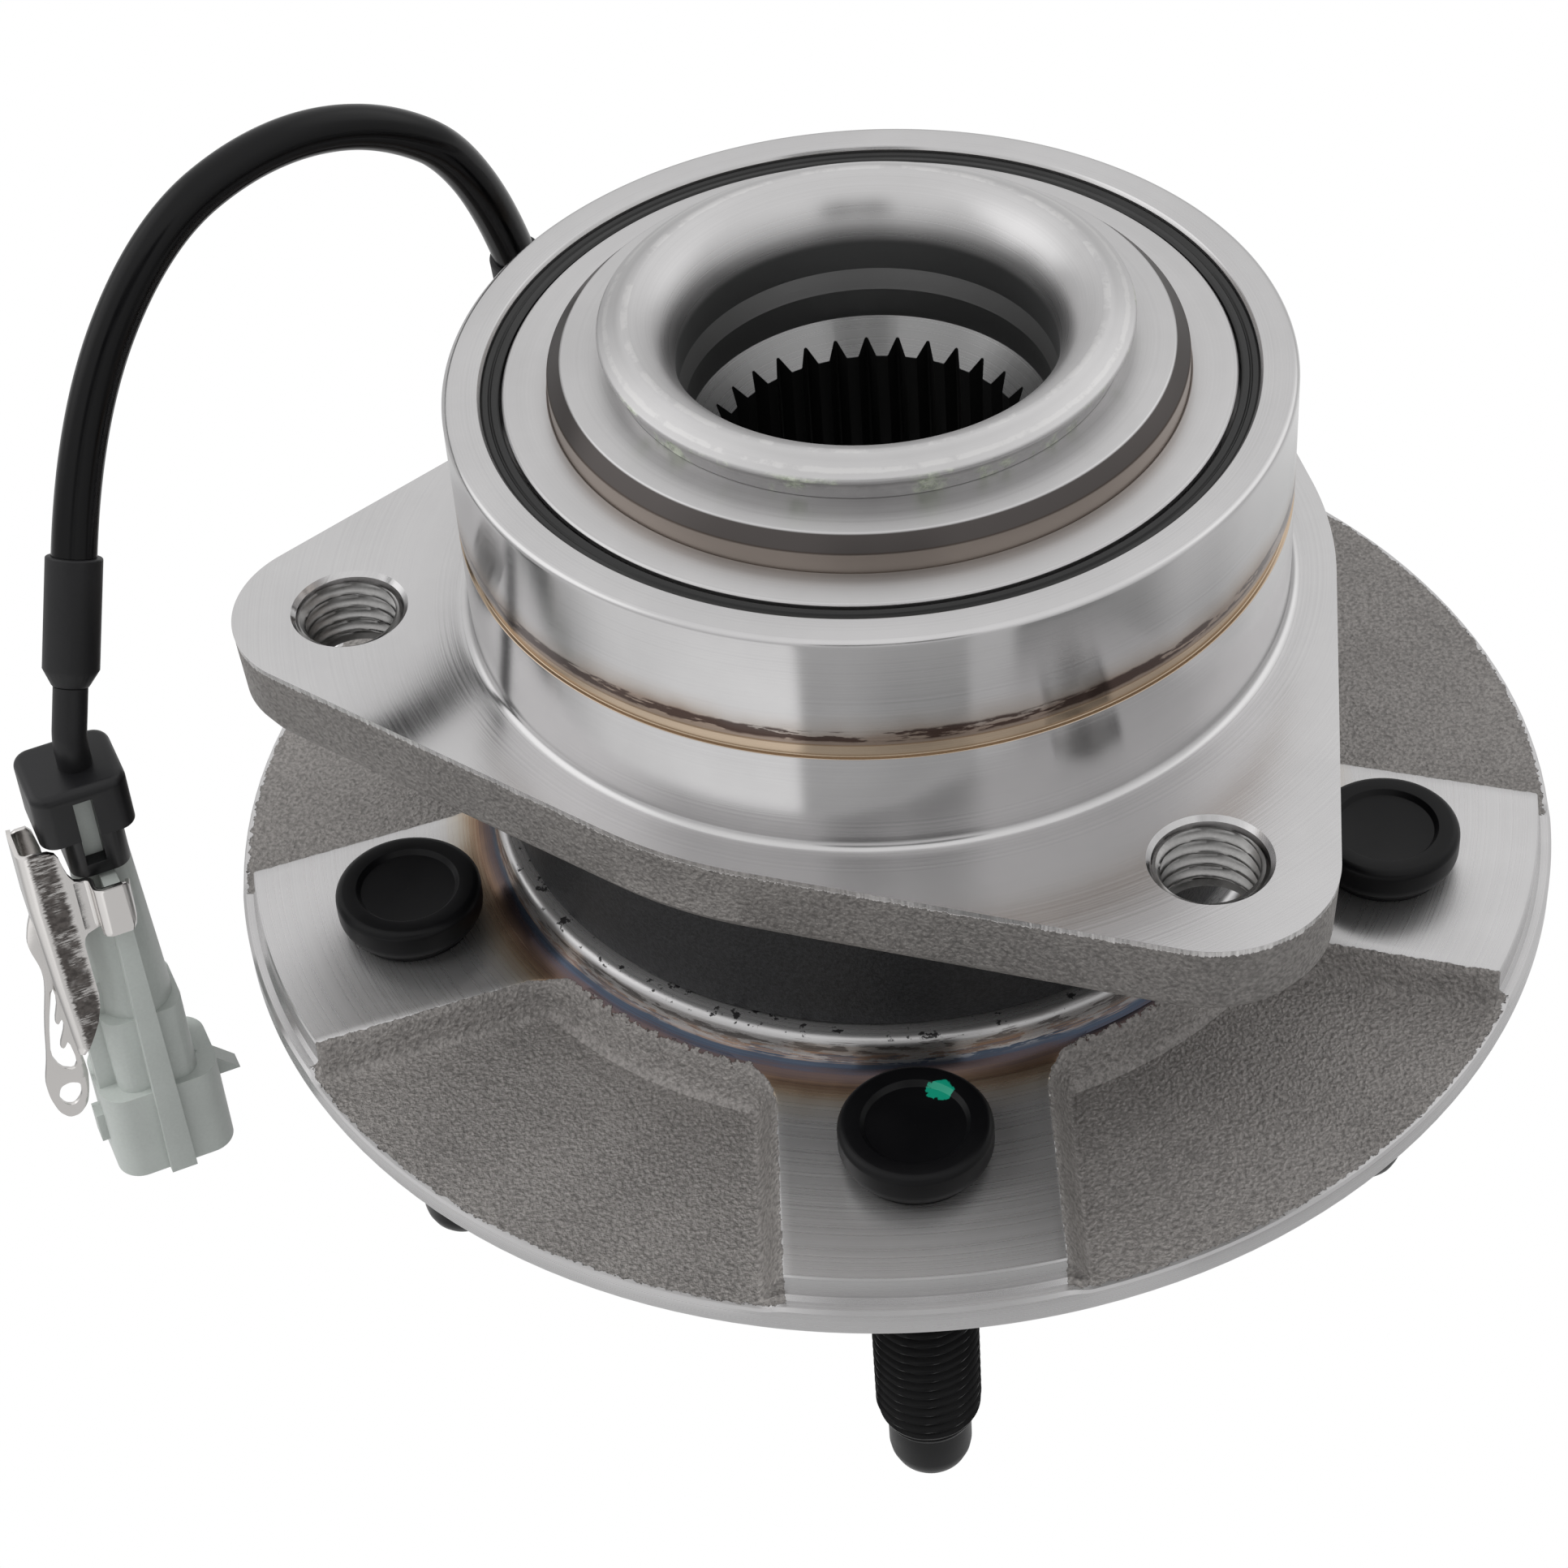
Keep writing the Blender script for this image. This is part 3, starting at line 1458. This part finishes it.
    def rim_piece(self) -> bpy.types.Object:
        """Rolled rim, funnel and bore down to the spline's face.

        Returns:
            The piece.
        """
        lip = [(26.6, 71.45), (26.7, 72.6), (27.2, 73.5)] + arc((27.45, 74.35), 0.45, -50, 68, 7)
        start, pull, crest = (np.array(p) for p in ((25.9, 75.69), (25.1, 76.12), (24.6, 75.98)))
        crown = []
        for t in np.linspace(0, 1, 14):
            crown.append(tuple((1 - t) ** 2 * start + 2 * t * (1 - t) * pull + t * t * crest))
        out, rise = crest[0] - self.bore, crest[1] - self.bore_top
        centre_r = (out**2 + rise**2) / (2 * out)
        sweep = math.degrees(math.asin(rise / centre_r))
        funnel = arc((self.bore + centre_r, self.bore_top), centre_r, 180 - sweep, 180, 18)
        bore = [(self.bore, self.bore_top), (self.bore, 66.1), (self.face, 63.7)]
        bore += [(self.face, SPLINE_FACE)]
        profile = [(23.9, 71.5)] + lip + crown + funnel[1:] + rounded(bore, 0.15)[1:]
        return lathe("rolled_rim", profile, STEEL)

    def spline_piece(self) -> bpy.types.Object:
        """Spline with pointed roots, from its face down to the nut seat.

        Returns:
            The piece.
        """
        pitch = 2 * math.pi / self.teeth
        tooth = [(0.0, 18.15), (0.05, 18.1), (0.3, 16.98), (0.33, 16.95), (0.5, 16.95)]
        tooth += [(0.67, 16.95), (0.7, 16.98), (0.95, 18.1)]
        angles = np.array([(t + s) * pitch for t in range(self.teeth) for s, _ in tooth])
        radii = np.array([r for _ in range(self.teeth) for _, r in tooth])
        rim = np.full_like(radii, self.face)
        face = SPLINE_FACE - (rim - radii) * SPLINE_FACE_SLOPE
        rows = []
        for r, height in ((rim, SPLINE_FACE + 0 * rim), (radii, face), (radii, self.seat[1] + 0 * rim)):
            rows.append(np.stack((np.cos(angles) * r, np.sin(angles) * r, height), axis=-1))
        mesh = grid_mesh("spline", np.array(rows))
        return make_object("spline", mesh, [SPLINE_STEEL], Surface.TURNED)


@dataclass
class CarrierLooks:
    """The carrier: turned barrel and pilot, and the plate with its ears.

    Attributes:
        plate_top: Height of the plate's machined face.
        plate_bottom: Height of its lower face.
        core: Radius of the plate between the ears.
        ear: Radius of an ear's end.
        ear_at: Radius on which the ears' holes lie.
        draft: How far the lower outline stands inside the upper one.
        hole: Radius of the holes.
        chamfer: Width of the chamfer at each end of a hole.
        flat_angle: Direction of the flat cut on the plate.
        flat_at: Distance of the flat from the axis.
        pilot: Radius of the knuckle pilot.
        pilot_top: Height of its end face.
        barrel: Radius of the barrel under the plate.
    """

    plate_top: float = 41.1
    plate_bottom: float = 32.0
    core: float = 49.6
    ear: float = 12.9
    ear_at: float = 58.0
    draft: float = 0.477
    hole: float = 5.95
    chamfer: float = 0.5
    flat_angle: float = 127.2
    flat_at: float = 48.7
    pilot: float = 44.7
    pilot_top: float = 68.1
    barrel: float = 43.4

    def build(self) -> None:
        """Makes the carrier's pieces."""
        outline = [(39.7, 53.5), (39.7, 62.0), (40.65, 62.0), (40.65, 67.7)]
        outline += [(40.95, self.pilot_top), (44.05, self.pilot_top)]
        ring = rounded(outline, 0.08) + arc((44.05, 67.45), 0.65, 90, 0, 8)
        groove = [(self.pilot, 67.0), (self.pilot, 54.8), (44.25, 54.75), (44.25, 53.15)]
        ring += rounded(groove + [(self.pilot, 53.1), (self.pilot, 42.2)], 0.12)
        ring += arc((self.pilot + 1.0, 42.1), 1.0, 180, 270, 8) + [(46.6, 41.08)]
        barrel = [(46.6, self.plate_bottom)] + arc((self.barrel + 2.5, 29.5), 2.5, 90, 180, 8)
        end = [(self.barrel, 29.0), (self.barrel, 13.9), (40.6, 13.9), (40.3, 14.2), (40.3, 18.6)]
        barrel += [(self.barrel, 29.0)] + rounded(end, 0.12)
        pilot = lathe("carrier_pilot", ring, CARRIER_STEEL, 360)
        body = lathe("carrier_barrel", barrel, CARRIER_STEEL)
        plate = self.plate_piece()
        form = ThreadForm(5.96, 0.95, 1.75, self.plate_bottom + 0.4, self.plate_top - 0.45, 0.3)
        strip = form.mesh(EAR_THREAD)
        threads = []
        for number, angle in enumerate(EAR_ANGLES, 1):
            mesh = joined(f"ear_thread_{number}", [strip], polar(self.ear_at, angle))
            mesh.flip_normals()
            threads.append(make_object(f"ear_thread_{number}", mesh, [EAR_THREAD], Surface.MOULDED))
        for piece in (pilot, body, plate, *threads):
            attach(piece, Body.CARRIER.value)
        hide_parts("outer_ring")
        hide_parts("carrier_ear_1", "carrier_ear_2", "carrier_ear_3")

    def outline(self, shrink: float) -> np.ndarray:
        """Outline round the core and the three ears, dense enough to look smooth.

        Args:
            shrink: How far it stands inside the plate's own outline.

        Returns:
            Its points in order.
        """
        spots = circle((0.0, 0.0), self.core - shrink, 1.0)
        for angle in EAR_ANGLES:
            spots += circle(polar(self.ear_at, angle)[:2], self.ear - shrink, 1.0)
        hull = convex_hull(spots)
        out = np.array(polar(1.0, self.flat_angle)[:2])
        over = np.maximum(hull @ out - self.flat_at, 0)
        return hull - over[:, None] * out

    def plate_piece(self) -> bpy.types.Object:
        """Plate with its three holes: machined faces, forged sides.

        Returns:
            The piece.
        """
        shape = bmesh.new()
        machined, forged = 0, 1

        def loop(points: Sequence[Point], height: float) -> list[bmesh.types.BMEdge]:
            """Closed ring of edges through some points at a height."""
            verts = [shape.verts.new((x * MM, y * MM, height * MM)) for x, y in points]
            return [shape.edges.new((verts[k - 1], verts[k])) for k in range(len(verts))]

        def bridge(first: list, second: list, index: int) -> None:
            """Faces between two rings, with a material index."""
            for face in bmesh.ops.bridge_loops(shape, edges=first + second)["faces"]:
                face.material_index = index

        def inwards(points: np.ndarray, distance: float) -> np.ndarray:
            """Points moved towards the axis."""
            return points * (1 - distance / np.linalg.norm(points, axis=1, keepdims=True))

        def holes(radius: float, height: float) -> list[list]:
            """One ring for each of the three holes."""
            return [loop(circle(centre, radius, 5.0), height) for centre in centres]

        centres = [polar(self.ear_at, angle)[:2] for angle in EAR_ANGLES]
        upper, lower = self.outline(0.0), self.outline(self.draft)
        top = loop(upper, self.plate_top)
        bottom = loop(lower, self.plate_bottom + 1.2)
        base = loop(inwards(lower, 0.8), self.plate_bottom)
        side = loop(inwards(upper, 0.05), self.plate_top - 0.1)
        for first, second in ((top, side), (side, bottom), (bottom, base)):
            bridge(first, second, forged)
        mouths = []
        for edges, height, gap, index in (
            (top, self.plate_top, 46.3, machined),
            (base, self.plate_bottom, 45.9, forged),
        ):
            middle = loop(circle((0.0, 0.0), gap, 2.0), height)
            mouths.append(holes(self.hole + self.chamfer, height))
            cap = edges + middle + sum(mouths[-1], [])
            found = bmesh.ops.triangle_fill(shape, edges=cap, use_beauty=True, normal=(0, 0, 1))
            for item in found["geom"]:
                if isinstance(item, bmesh.types.BMFace):
                    item.material_index = index
        for centre, above, below in zip(centres, *mouths):
            wall = []
            for height in (self.plate_top - self.chamfer, self.plate_bottom + self.chamfer):
                wall.append(loop(circle(centre, self.hole, 5.0), height))
            for first, second in ((above, wall[0]), (wall[0], wall[1]), (wall[1], below)):
                bridge(first, second, machined)
        bmesh.ops.recalc_face_normals(shape, faces=shape.faces)
        mesh = settled("carrier_plate", shape)
        return make_object("carrier_plate", mesh, [CARRIER_STEEL, PLATE_SIDE], Surface.TURNED)


@dataclass
class SealLooks:
    """What shows between the carrier and the rolled rim: rubber, slinger and the inner ring's shoulder."""

    def build(self) -> None:
        """Makes the turned pieces of the inboard seal and the inner ring."""
        lip = [(39.85, 62.8), (38.7, 63.7), (38.7, 67.3), (38.95, 67.5), (39.5, 67.45)]
        lip += [(39.7, 67.2), (39.9, 67.45), (40.4, 67.5), (40.65, 67.3), (40.65, 66.8)]
        slinger = [(33.5, 67.0), (33.5, 67.5), (33.7, 67.7), (38.2, 67.7)]
        slinger += [(38.4, 67.5), (38.4, 66.9), (34.3, 66.9), (34.3, 63.4)]
        race = arc((33.25, 53.5), 6.45, 202.7, 110.4, 20)
        crown = [(31.0, 59.6), (33.5, 60.75), (33.5, 69.8), (31.9, 71.4), (23.8, 71.4)]
        ring = [(27.3, 44.0)] + race + rounded(crown, 0.25) + [(23.8, 44.0), (27.3, 44.0)]
        for name, node, profile, finish in (
            ("seal_lip", "inboard_seal_lip", rounded(lip, 0.08), SEAL_RUBBER),
            ("slinger", "inboard_slinger", rounded(slinger, 0.12), SLINGER_STEEL),
            ("ring_shoulder", "inner_ring", ring, RING_STEEL),
        ):
            piece = lathe(name, profile, finish)
            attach(piece, body_of(node).value)
            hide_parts(node)


@dataclass
class StudLooks:
    """The five pressed wheel studs, on a circle with the radius given."""

    at: float = 57.15

    def build(self) -> None:
        """Makes each stud: a turned head and dog point, with the thread between them."""
        head = [(0.01, 13.2), (5.3, 13.2), (5.75, 13.8), (7.15, 13.8)] + arc((7.15, 12.8), 1.0, 80, 0, 7)
        head += arc((5.75, 11.2), 2.4, 0, -60, 8) + [(6.9, 8.55), (6.15, 8.5)]
        head += [(6.15, 0.2), (5.9, 0.0), (5.0, -0.5)]
        point = [(4.9, -34.2), (4.66, -34.35), (4.65, -39.0), (4.5, -39.9), (4.1, -40.9)]
        point += [(3.6, -41.6), (3.1, -42.0), (0.01, -42.0)]
        thread = ThreadForm(5.9, 0.92, 1.5, -34.25, -0.2, 2.2).mesh(BLACK_COAT)
        turned = [
            grid_mesh("head", lathe_points(rounded(head, 0.12, 2), 72)),
            grid_mesh("point", lathe_points(point, 72)),
        ]
        for number in range(1, STUD_COUNT + 1):
            spot = polar(self.at, FIRST_STUD + (number - 1) * 360 / STUD_COUNT)
            mesh = joined(f"stud_{number}", [*turned, thread], spot)
            stud = make_object(f"stud_{number}", mesh, [BLACK_COAT], Surface.MOULDED)
            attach(stud, Body.HUB.value)
            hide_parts(f"wheel_stud_{number}")


@dataclass
class LeadLooks:
    """The sleeved lead, as a curve along the same route as its solid."""

    radius: float = 2.5
    route: tuple = (
        (-0.0379, 0.0432, 0.056),
        (-0.0407, 0.0397, 0.0713),
        (-0.0506, 0.0328, 0.082),
        (-0.0622, 0.025, 0.085),
        (-0.074, 0.0163, 0.0806),
        (-0.083734, 0.006291, 0.064645),
        (-0.0859, -0.001, 0.0523),
    )

    def build(self) -> bpy.types.Object:
        """Makes the curve and says what it is.

        Returns:
            The lead.
        """
        line = bpy.data.curves.new("lead", "CURVE")
        line.dimensions = "3D"
        spline = line.splines.new("NURBS")
        spline.points.add(len(self.route) - 1)
        for spot, place in zip(spline.points, self.route):
            spot.co = (*place, 1.0)
        spline.order_u = 3
        spline.use_endpoint_u = True
        spline.resolution_u = 24
        line.bevel_depth = self.radius * MM * 0.995
        line.bevel_resolution = 8
        line.use_fill_caps = True
        line.materials.append(SLEEVE.material())
        made = put("lead_sleeve", line)
        log.info("%s: a curve through %d points", made.name, len(self.route))
        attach(made, Body.CARRIER.value)
        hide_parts("cable_sleeve")
        return made


@dataclass
class ClipLooks:
    """The spring clip: folded front plate, back plate with a loop and an eye, curl round a rib.

    Places on it are given in the connector's own frame: across, depth from its axis, which is
    negative towards the front, and height.
    """

    sheet: float = 0.5
    front: float = -4.5
    back: float = 0.7
    roll: float = 0.9
    left_edge: tuple = ((-6.5, -8.0), (5.0, -8.6), (17.0, -9.0), (25.3, -8.95))
    right_edge: tuple = (
        (-6.5, -7.6),
        (-5.75, -6.9),
        (-4.0, -6.0),
        (-2.2, -5.2),
        (0.0, -4.6),
        (2.0, -4.35),
        (5.1, -4.4),
        (10.1, -4.45),
        (11.0, -4.2),
        (11.5, -3.8),
        (11.8, -3.0),
        (12.0, -2.3),
        (18.6, -2.2),
        (19.0, -2.6),
        (19.6, -3.8),
        (20.6, -4.3),
        (21.8, -4.55),
        (23.4, -4.8),
        (24.2, -5.1),
        (24.7, -5.8),
        (25.0, -7.4),
    )
    loop: tuple = (
        (-9.1, 24.6),
        (-9.1, 18.0),
        (-8.8, 12.4),
        (-9.6, 10.3),
        (-10.2, 7.6),
        (-9.4, 3.7),
        (-9.4, 1.0),
        (-10.7, -5.0),
        (-11.5, -10.4),
        (-12.4, -14.0),
        (-12.4, -16.6),
        (-11.8, -19.4),
        (-10.8, -20.8),
        (-9.5, -20.8),
        (-8.3, -19.4),
        (-7.7, -17.0),
        (-7.3, -13.9),
        (-7.9, -7.5),
        (-7.9, 0.5),
        (-5.8, 3.5),
        (-5.8, 24.6),
    )
    window: tuple = (
        (-8.8, 0.6),
        (-8.6, -2.0),
        (-9.5, -5.2),
        (-9.2, -5.7),
        (-8.65, -4.9),
        (-8.6, -6.4),
        (-9.7, -9.2),
        (-9.3, -9.7),
        (-8.6, -8.6),
        (-8.2, -12.4),
        (-8.8, -13.5),
        (-10.2, -12.6),
        (-11.0, -10.0),
        (-10.2, -5.0),
    )
    eye: tuple = (
        (-10.9, -15.5),
        (-11.4, -17.1),
        (-10.8, -18.6),
        (-9.8, -19.1),
        (-8.7, -17.9),
        (-8.5, -15.9),
        (-9.7, -15.2),
    )
    curl: tuple = (
        (-4.0, -4.5),
        (-2.6, -4.5),
        (-2.1, -4.9),
        (-2.05, -6.6),
        (-1.4, -7.0),
        (0.9, -7.0),
        (1.5, -6.5),
        (1.9, -4.4),
    )
    curl_low: float = 12.2
    curl_high: float = 19.3

    def place(self, across: float, depth: float, height: float) -> Spot:
        """Point in the part's frame.

        Args:
            across: Place across the clip.
            depth: Place in depth.
            height: Height in the part's frame.

        Returns:
            The point.
        """
        c, s, _ = polar(1.0, CONNECTOR_YAW)
        x, y = CONNECTOR_AXIS
        return (x + across * c - depth * s, y + across * s + depth * c, height)

    def front_mesh(self) -> bpy.types.Mesh:
        """Front plate, with its left edge folded back to the back plate and rolled below it.

        Returns:
            The mesh.
        """
        heights = np.unique(np.concatenate((np.linspace(-6.5, 25.0, 60), [h for h, _ in self.right_edge])))
        rows = []
        for height in heights:
            left = np.interp(height, *zip(*self.left_edge))
            right = max(np.interp(height, *zip(*self.right_edge)), left + 0.2)
            depths = (self.front + 0.7, self.front + 1.6, self.back)
            start = np.interp(height, (-6.5, 9.5, 12.5), depths)
            roll = min(self.roll, (right - left) * 0.8)
            row = [(left + 0.15, start)]
            row += [(left, d) for d in np.linspace(start, self.front + roll, 5)[1:]]
            row += arc((left + roll, self.front + roll), roll, 180, 270, 7)[1:]
            width = right - left - roll
            row += [(left + roll + width * k, self.front) for k in np.linspace(0, 1, 12)[1:]]
            rows.append([self.place(across, depth, height) for across, depth in row])
        return grid_mesh("clip_front", np.array(rows), close_across=False)

    def curl_mesh(self) -> bpy.types.Mesh:
        """Curl round the rib, with its far corner rounded off.

        Returns:
            The mesh.
        """
        path = rounded(self.curl, 0.7, 6)
        share = np.linspace(0, 1, len(path))
        rows = []
        for level in np.linspace(0, 1, 16):
            row = []
            for (across, depth), s in zip(path, share):
                low = self.curl_low + 2.2 * max(0.0, (s - 0.7) / 0.3) ** 2
                high = self.curl_high - 2.0 * max(0.0, (s - 0.75) / 0.25) ** 2
                row.append(self.place(across, depth, low + (high - low) * level))
            rows.append(row)
        return grid_mesh("clip_curl", np.array(rows), close_across=False)

    def back_mesh(self) -> bpy.types.Mesh:
        """Back plate with its window, barbs and eye, from outlines that are smoothed first.

        Returns:
            The mesh.
        """
        shape = bmesh.new()
        edges = []
        for outline, passes in ((self.loop, 2), (self.window, 1), (self.eye, 2)):
            points = np.array(outline)
            for _ in range(passes):
                after = np.roll(points, -1, axis=0)
                pair = (points * 0.8 + after * 0.2, points * 0.2 + after * 0.8)
                points = np.stack(pair, axis=1).reshape(-1, 2)
            verts = [shape.verts.new(Vector(self.place(u, self.back, h)) * MM) for u, h in points]
            edges += [shape.edges.new((verts[k - 1], verts[k])) for k in range(len(verts))]
        bmesh.ops.triangle_fill(shape, edges=edges, use_beauty=True)
        return settled("clip_back", shape)

    def build(self) -> bpy.types.Object:
        """Makes the clip as one piece of sheet.

        Returns:
            The clip.
        """
        sheets = [self.front_mesh(), self.curl_mesh(), self.back_mesh()]
        made = make_object("clip_sheet", joined("clip_sheet", sheets, (0, 0, 0)), [CLIP], Surface.MOULDED)
        thick = made.modifiers.new("solidify", "SOLIDIFY")
        thick.thickness, thick.offset = self.sheet * MM, 0.0
        edge = made.modifiers.new("bevel", "BEVEL")
        edge.width, edge.segments = 0.1 * MM, 2
        edge.angle_limit = math.radians(50)
        flatten(made)
        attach(made, Body.CARRIER.value)
        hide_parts("spring_clip")
        return made


@dataclass
class SmallPieces:
    """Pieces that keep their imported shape, with softened edges."""

    soft: dict[str, tuple[Finish, float]] = field(
        default_factory=lambda: {
            "connector_cover": (COVER, 0.5),
            "connector_body": (PALE, 0.45),
            "heat_shrink": (SHRINK, 0.25),
            "cable_core": (SHRINK, 0.0),
            "sensor_body": (COVER, 0.4),
            "sensor_boot": (SHRINK, 0.2),
        }
    )
    bare: dict[str, Finish] = field(
        default_factory=lambda: {
            "tone_ring": SINTER,
            "cage_inboard": CAGE,
            "cage_outboard": CAGE,
            "balls_inboard": BALL,
            "balls_outboard": BALL,
            "inboard_seal_case": SLINGER_STEEL,
            "outboard_seal_case": SLINGER_STEEL,
            "outboard_seal_lip": SEAL_RUBBER,
            "sensor_o_ring": SEAL_RUBBER,
            "terminal_1": TIN,
            "terminal_2": TIN,
        }
    )

    def build(self) -> None:
        """Makes the softened copies and paints the rest."""
        for node, (finish, edge) in self.soft.items():
            from_cad(node, finish, edge)

    def dress(self) -> None:
        """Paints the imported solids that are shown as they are."""
        for node, finish in self.bare.items():
            mesh = frame["nodes"][node].data
            mesh.materials.clear()
            mesh.materials.append(finish.material())
            log.info("%s: %s", node, type(finish).__name__)


@dataclass
class Studio:
    """White sweep, soft lights and the camera of the photograph.

    The part's steel mirrors the floor, so the floor has a level of its own for mirrored rays.

    Attributes:
        lens: Focal length.
        place: Where the camera stands.
        tilt: Angle of its view below the horizon.
        roll: Turn about its line of sight.
        yaw: Turn about the vertical.
        floor: Height of the floor.
        horizon: Level of the surroundings at the horizon.
        zenith: Level straight up.
        strips: Borders round the floor: angle, softness, and the levels near and far beyond it.
        first_levels: Near and far level before the first border.
        under_part: Level of the floor below the part.
        under_edge: Distances over which that level ends.
        far_edge: Distances over which the near level gives way to the far one.
        boxes: Patches in the surroundings: direction, inner and outer angle, level.
        lamps: Name, place, extent and power of each lamp.
        diffuse_share: Share of the surroundings' light that diffuse rays get.
    """

    lens: float = 83.92
    place: Spot = (-15.236, -308.307, 296.171)
    tilt: float = 42.92
    roll: float = 4.503
    yaw: float = -0.57
    floor: float = -42.0
    horizon: float = 0.62
    zenith: float = 1.05
    strips: tuple = (
        (-100.0, 8.0, 0.4, 0.58),
        (-80.0, 12.0, 0.95, 0.95),
        (-56.0, 12.0, 1.2, 1.02),
        (-35.0, 8.0, 1.3, 1.02),
        (-23.0, 1.5, 0.46, 0.55),
        (-6.0, 8.0, 0.28, 0.5),
        (17.0, 1.2, 0.6, 0.64),
        (28.0, 1.5, 0.14, 0.3),
        (52.0, 8.0, 0.14, 0.42),
        (68.0, 9.0, 0.44, 0.7),
        (95.0, 10.0, 0.68, 0.86),
    )
    first_levels: Point = (0.6, 0.68)
    under_part: float = 0.72
    under_edge: Point = (0.114, 0.122)
    far_edge: Point = (0.1465, 0.1505)
    boxes: tuple = (
        (-0.8, 0.2, 0.55, 12.0, 34.0, 1.5),
        (0.7, 0.45, 0.6, 10.0, 30.0, 1.35),
        (-0.14, -0.8, 0.52, 6.0, 13.0, 0.12),
        (0.12, -0.8, 0.52, 6.0, 13.0, 0.1),
    )
    lamps: tuple = (("key", (-0.5, -0.12, 0.7), 0.4, 3.0),)
    diffuse_share: float = 0.75

    def build(self) -> None:
        """Sets the camera, the backdrop and the lights."""
        self.camera()
        self.backdrop()
        self.lights()
        bpy.context.scene.view_settings.view_transform = "Standard"

    def camera(self) -> None:
        """Camera solved from the circles in the photograph."""
        data = bpy.data.cameras.new("camera")
        data.lens, data.sensor_width = self.lens, 36.0
        data.clip_start, data.clip_end = 0.01, 10.0
        camera = put("camera", data)
        e, roll = math.radians(self.tilt), math.radians(self.roll)
        back = Vector((0, -math.cos(e), math.sin(e)))
        right = Vector((1, 0, 0))
        up = back.cross(right)
        side = math.cos(roll) * right - math.sin(roll) * up
        top = math.sin(roll) * right + math.cos(roll) * up
        turn = Matrix.Rotation(math.radians(self.yaw), 3, "Z")
        axes = Matrix((turn @ side, turn @ top, turn @ back)).transposed().to_4x4()
        axes.translation = Vector(self.place) * MM
        camera.matrix_world = axes
        bpy.context.scene.camera = camera

    @staticmethod
    def white_to_camera(g: Graph, kind: str, shader: bpy.types.NodeSocket) -> bpy.types.NodeSocket:
        """Shows the camera plain white, and all other rays a shader.

        Args:
            g: Graph of the material.
            kind: Node type of the white shader.
            shader: What the other rays see.

        Returns:
            The mixed shader.
        """
        seen = g.node(kind, {"Color": WHITE, "Strength": 1.0})
        rays = g.node("LightPath").outputs
        mixed = g.node("MixShader", {0: rays["Is Camera Ray"], 1: shader, 2: seen.outputs[0]})
        return mixed.outputs[0]

    def backdrop(self) -> None:
        """Pale floor that the camera sees as white."""
        mesh = bpy.data.meshes.new("floor")
        r, z = 1.5, self.floor * MM - 0.0002
        mesh.from_pydata([(-r, -r, z), (r, -r, z), (r, r, z), (-r, r, z)], [], [(0, 1, 2, 3)])
        white = bpy.data.materials.new("Backdrop")
        white.use_nodes = True
        tree = white.node_tree
        tree.nodes.clear()
        g = Graph(tree)
        spot = g.node("SeparateXYZ", {0: g.node("TexCoord").outputs["Object"]}).outputs
        turn = g.math("ARCTAN2", spot[0], g.times(spot[1], -1.0))
        level, far_level = self.first_levels
        for border, soft, near, far in self.strips:
            past = g.rise(turn, math.radians(border - soft), math.radians(border + soft))
            level, far_level = g.lerp(past, level, near), g.lerp(past, far_level, far)
        away = g.length(g.node("CombineXYZ", {0: spot[0], 1: spot[1]}).outputs[0])
        level = g.lerp(g.rise(away, *self.far_edge), level, far_level)
        level = g.lerp(g.rise(away, *self.under_edge), self.under_part, level)
        mirrored = g.node("Emission", {"Color": WHITE, "Strength": level}).outputs[0]
        pale = g.node("BsdfDiffuse", {"Color": (0.7, 0.7, 0.7)}).outputs[0]
        rays = g.node("LightPath").outputs
        other = g.node("MixShader", {0: rays["Is Glossy Ray"], 1: pale, 2: mirrored}).outputs[0]
        g.node("OutputMaterial", {0: self.white_to_camera(g, "Emission", other)})
        mesh.materials.append(white)
        put("floor", mesh)

    def lights(self) -> None:
        """Even white surroundings, with the dark camera and brighter boxes painted into them."""
        world = bpy.data.worlds.new("studio")
        bpy.context.scene.world = world
        world.use_nodes = True
        tree = world.node_tree
        tree.nodes.clear()
        g = Graph(tree)
        way = g.node("TexCoord").outputs["Generated"]
        up = g.node("SeparateXYZ", {0: way}).outputs[2]
        sky = g.rise(up, -0.1, 0.95, self.horizon, self.zenith)
        for x, y, z, inner, outer, level in self.boxes:
            aim = Vector((x, y, z)).normalized()
            inner_dot, outer_dot = math.cos(math.radians(inner)), math.cos(math.radians(outer))
            near = g.rise(g.dot(way, tuple(aim)), outer_dot, inner_dot)
            sky = g.lerp(near, sky, level)
        share = g.lerp(g.node("LightPath").outputs["Is Diffuse Ray"], 1.0, self.diffuse_share)
        lit = g.node("Background", {"Color": WHITE, "Strength": g.times(sky, share)}).outputs[0]
        g.node("OutputWorld", {0: self.white_to_camera(g, "Background", lit)})
        for name, where, extent, power in self.lamps:
            data = bpy.data.lights.new(name, "AREA")
            data.size, data.energy = extent, power
            lamp = put(name, data)
            lamp.location = where
            lamp.visible_glossy = False
            aim = Vector((0, 0, 0.03)) - Vector(where)
            lamp.rotation_euler = aim.to_track_quat("-Z", "Y").to_euler()


def main() -> None:
    """Builds the looks, the studio and the declared pieces."""
    HubLooks().build()
    CarrierLooks().build()
    SealLooks().build()
    StudLooks().build()
    ClipLooks().build()
    small = SmallPieces()
    small.build()
    small.dress()
    lead = LeadLooks().build()
    Studio().build()


if __name__ == "__main__":
    main()
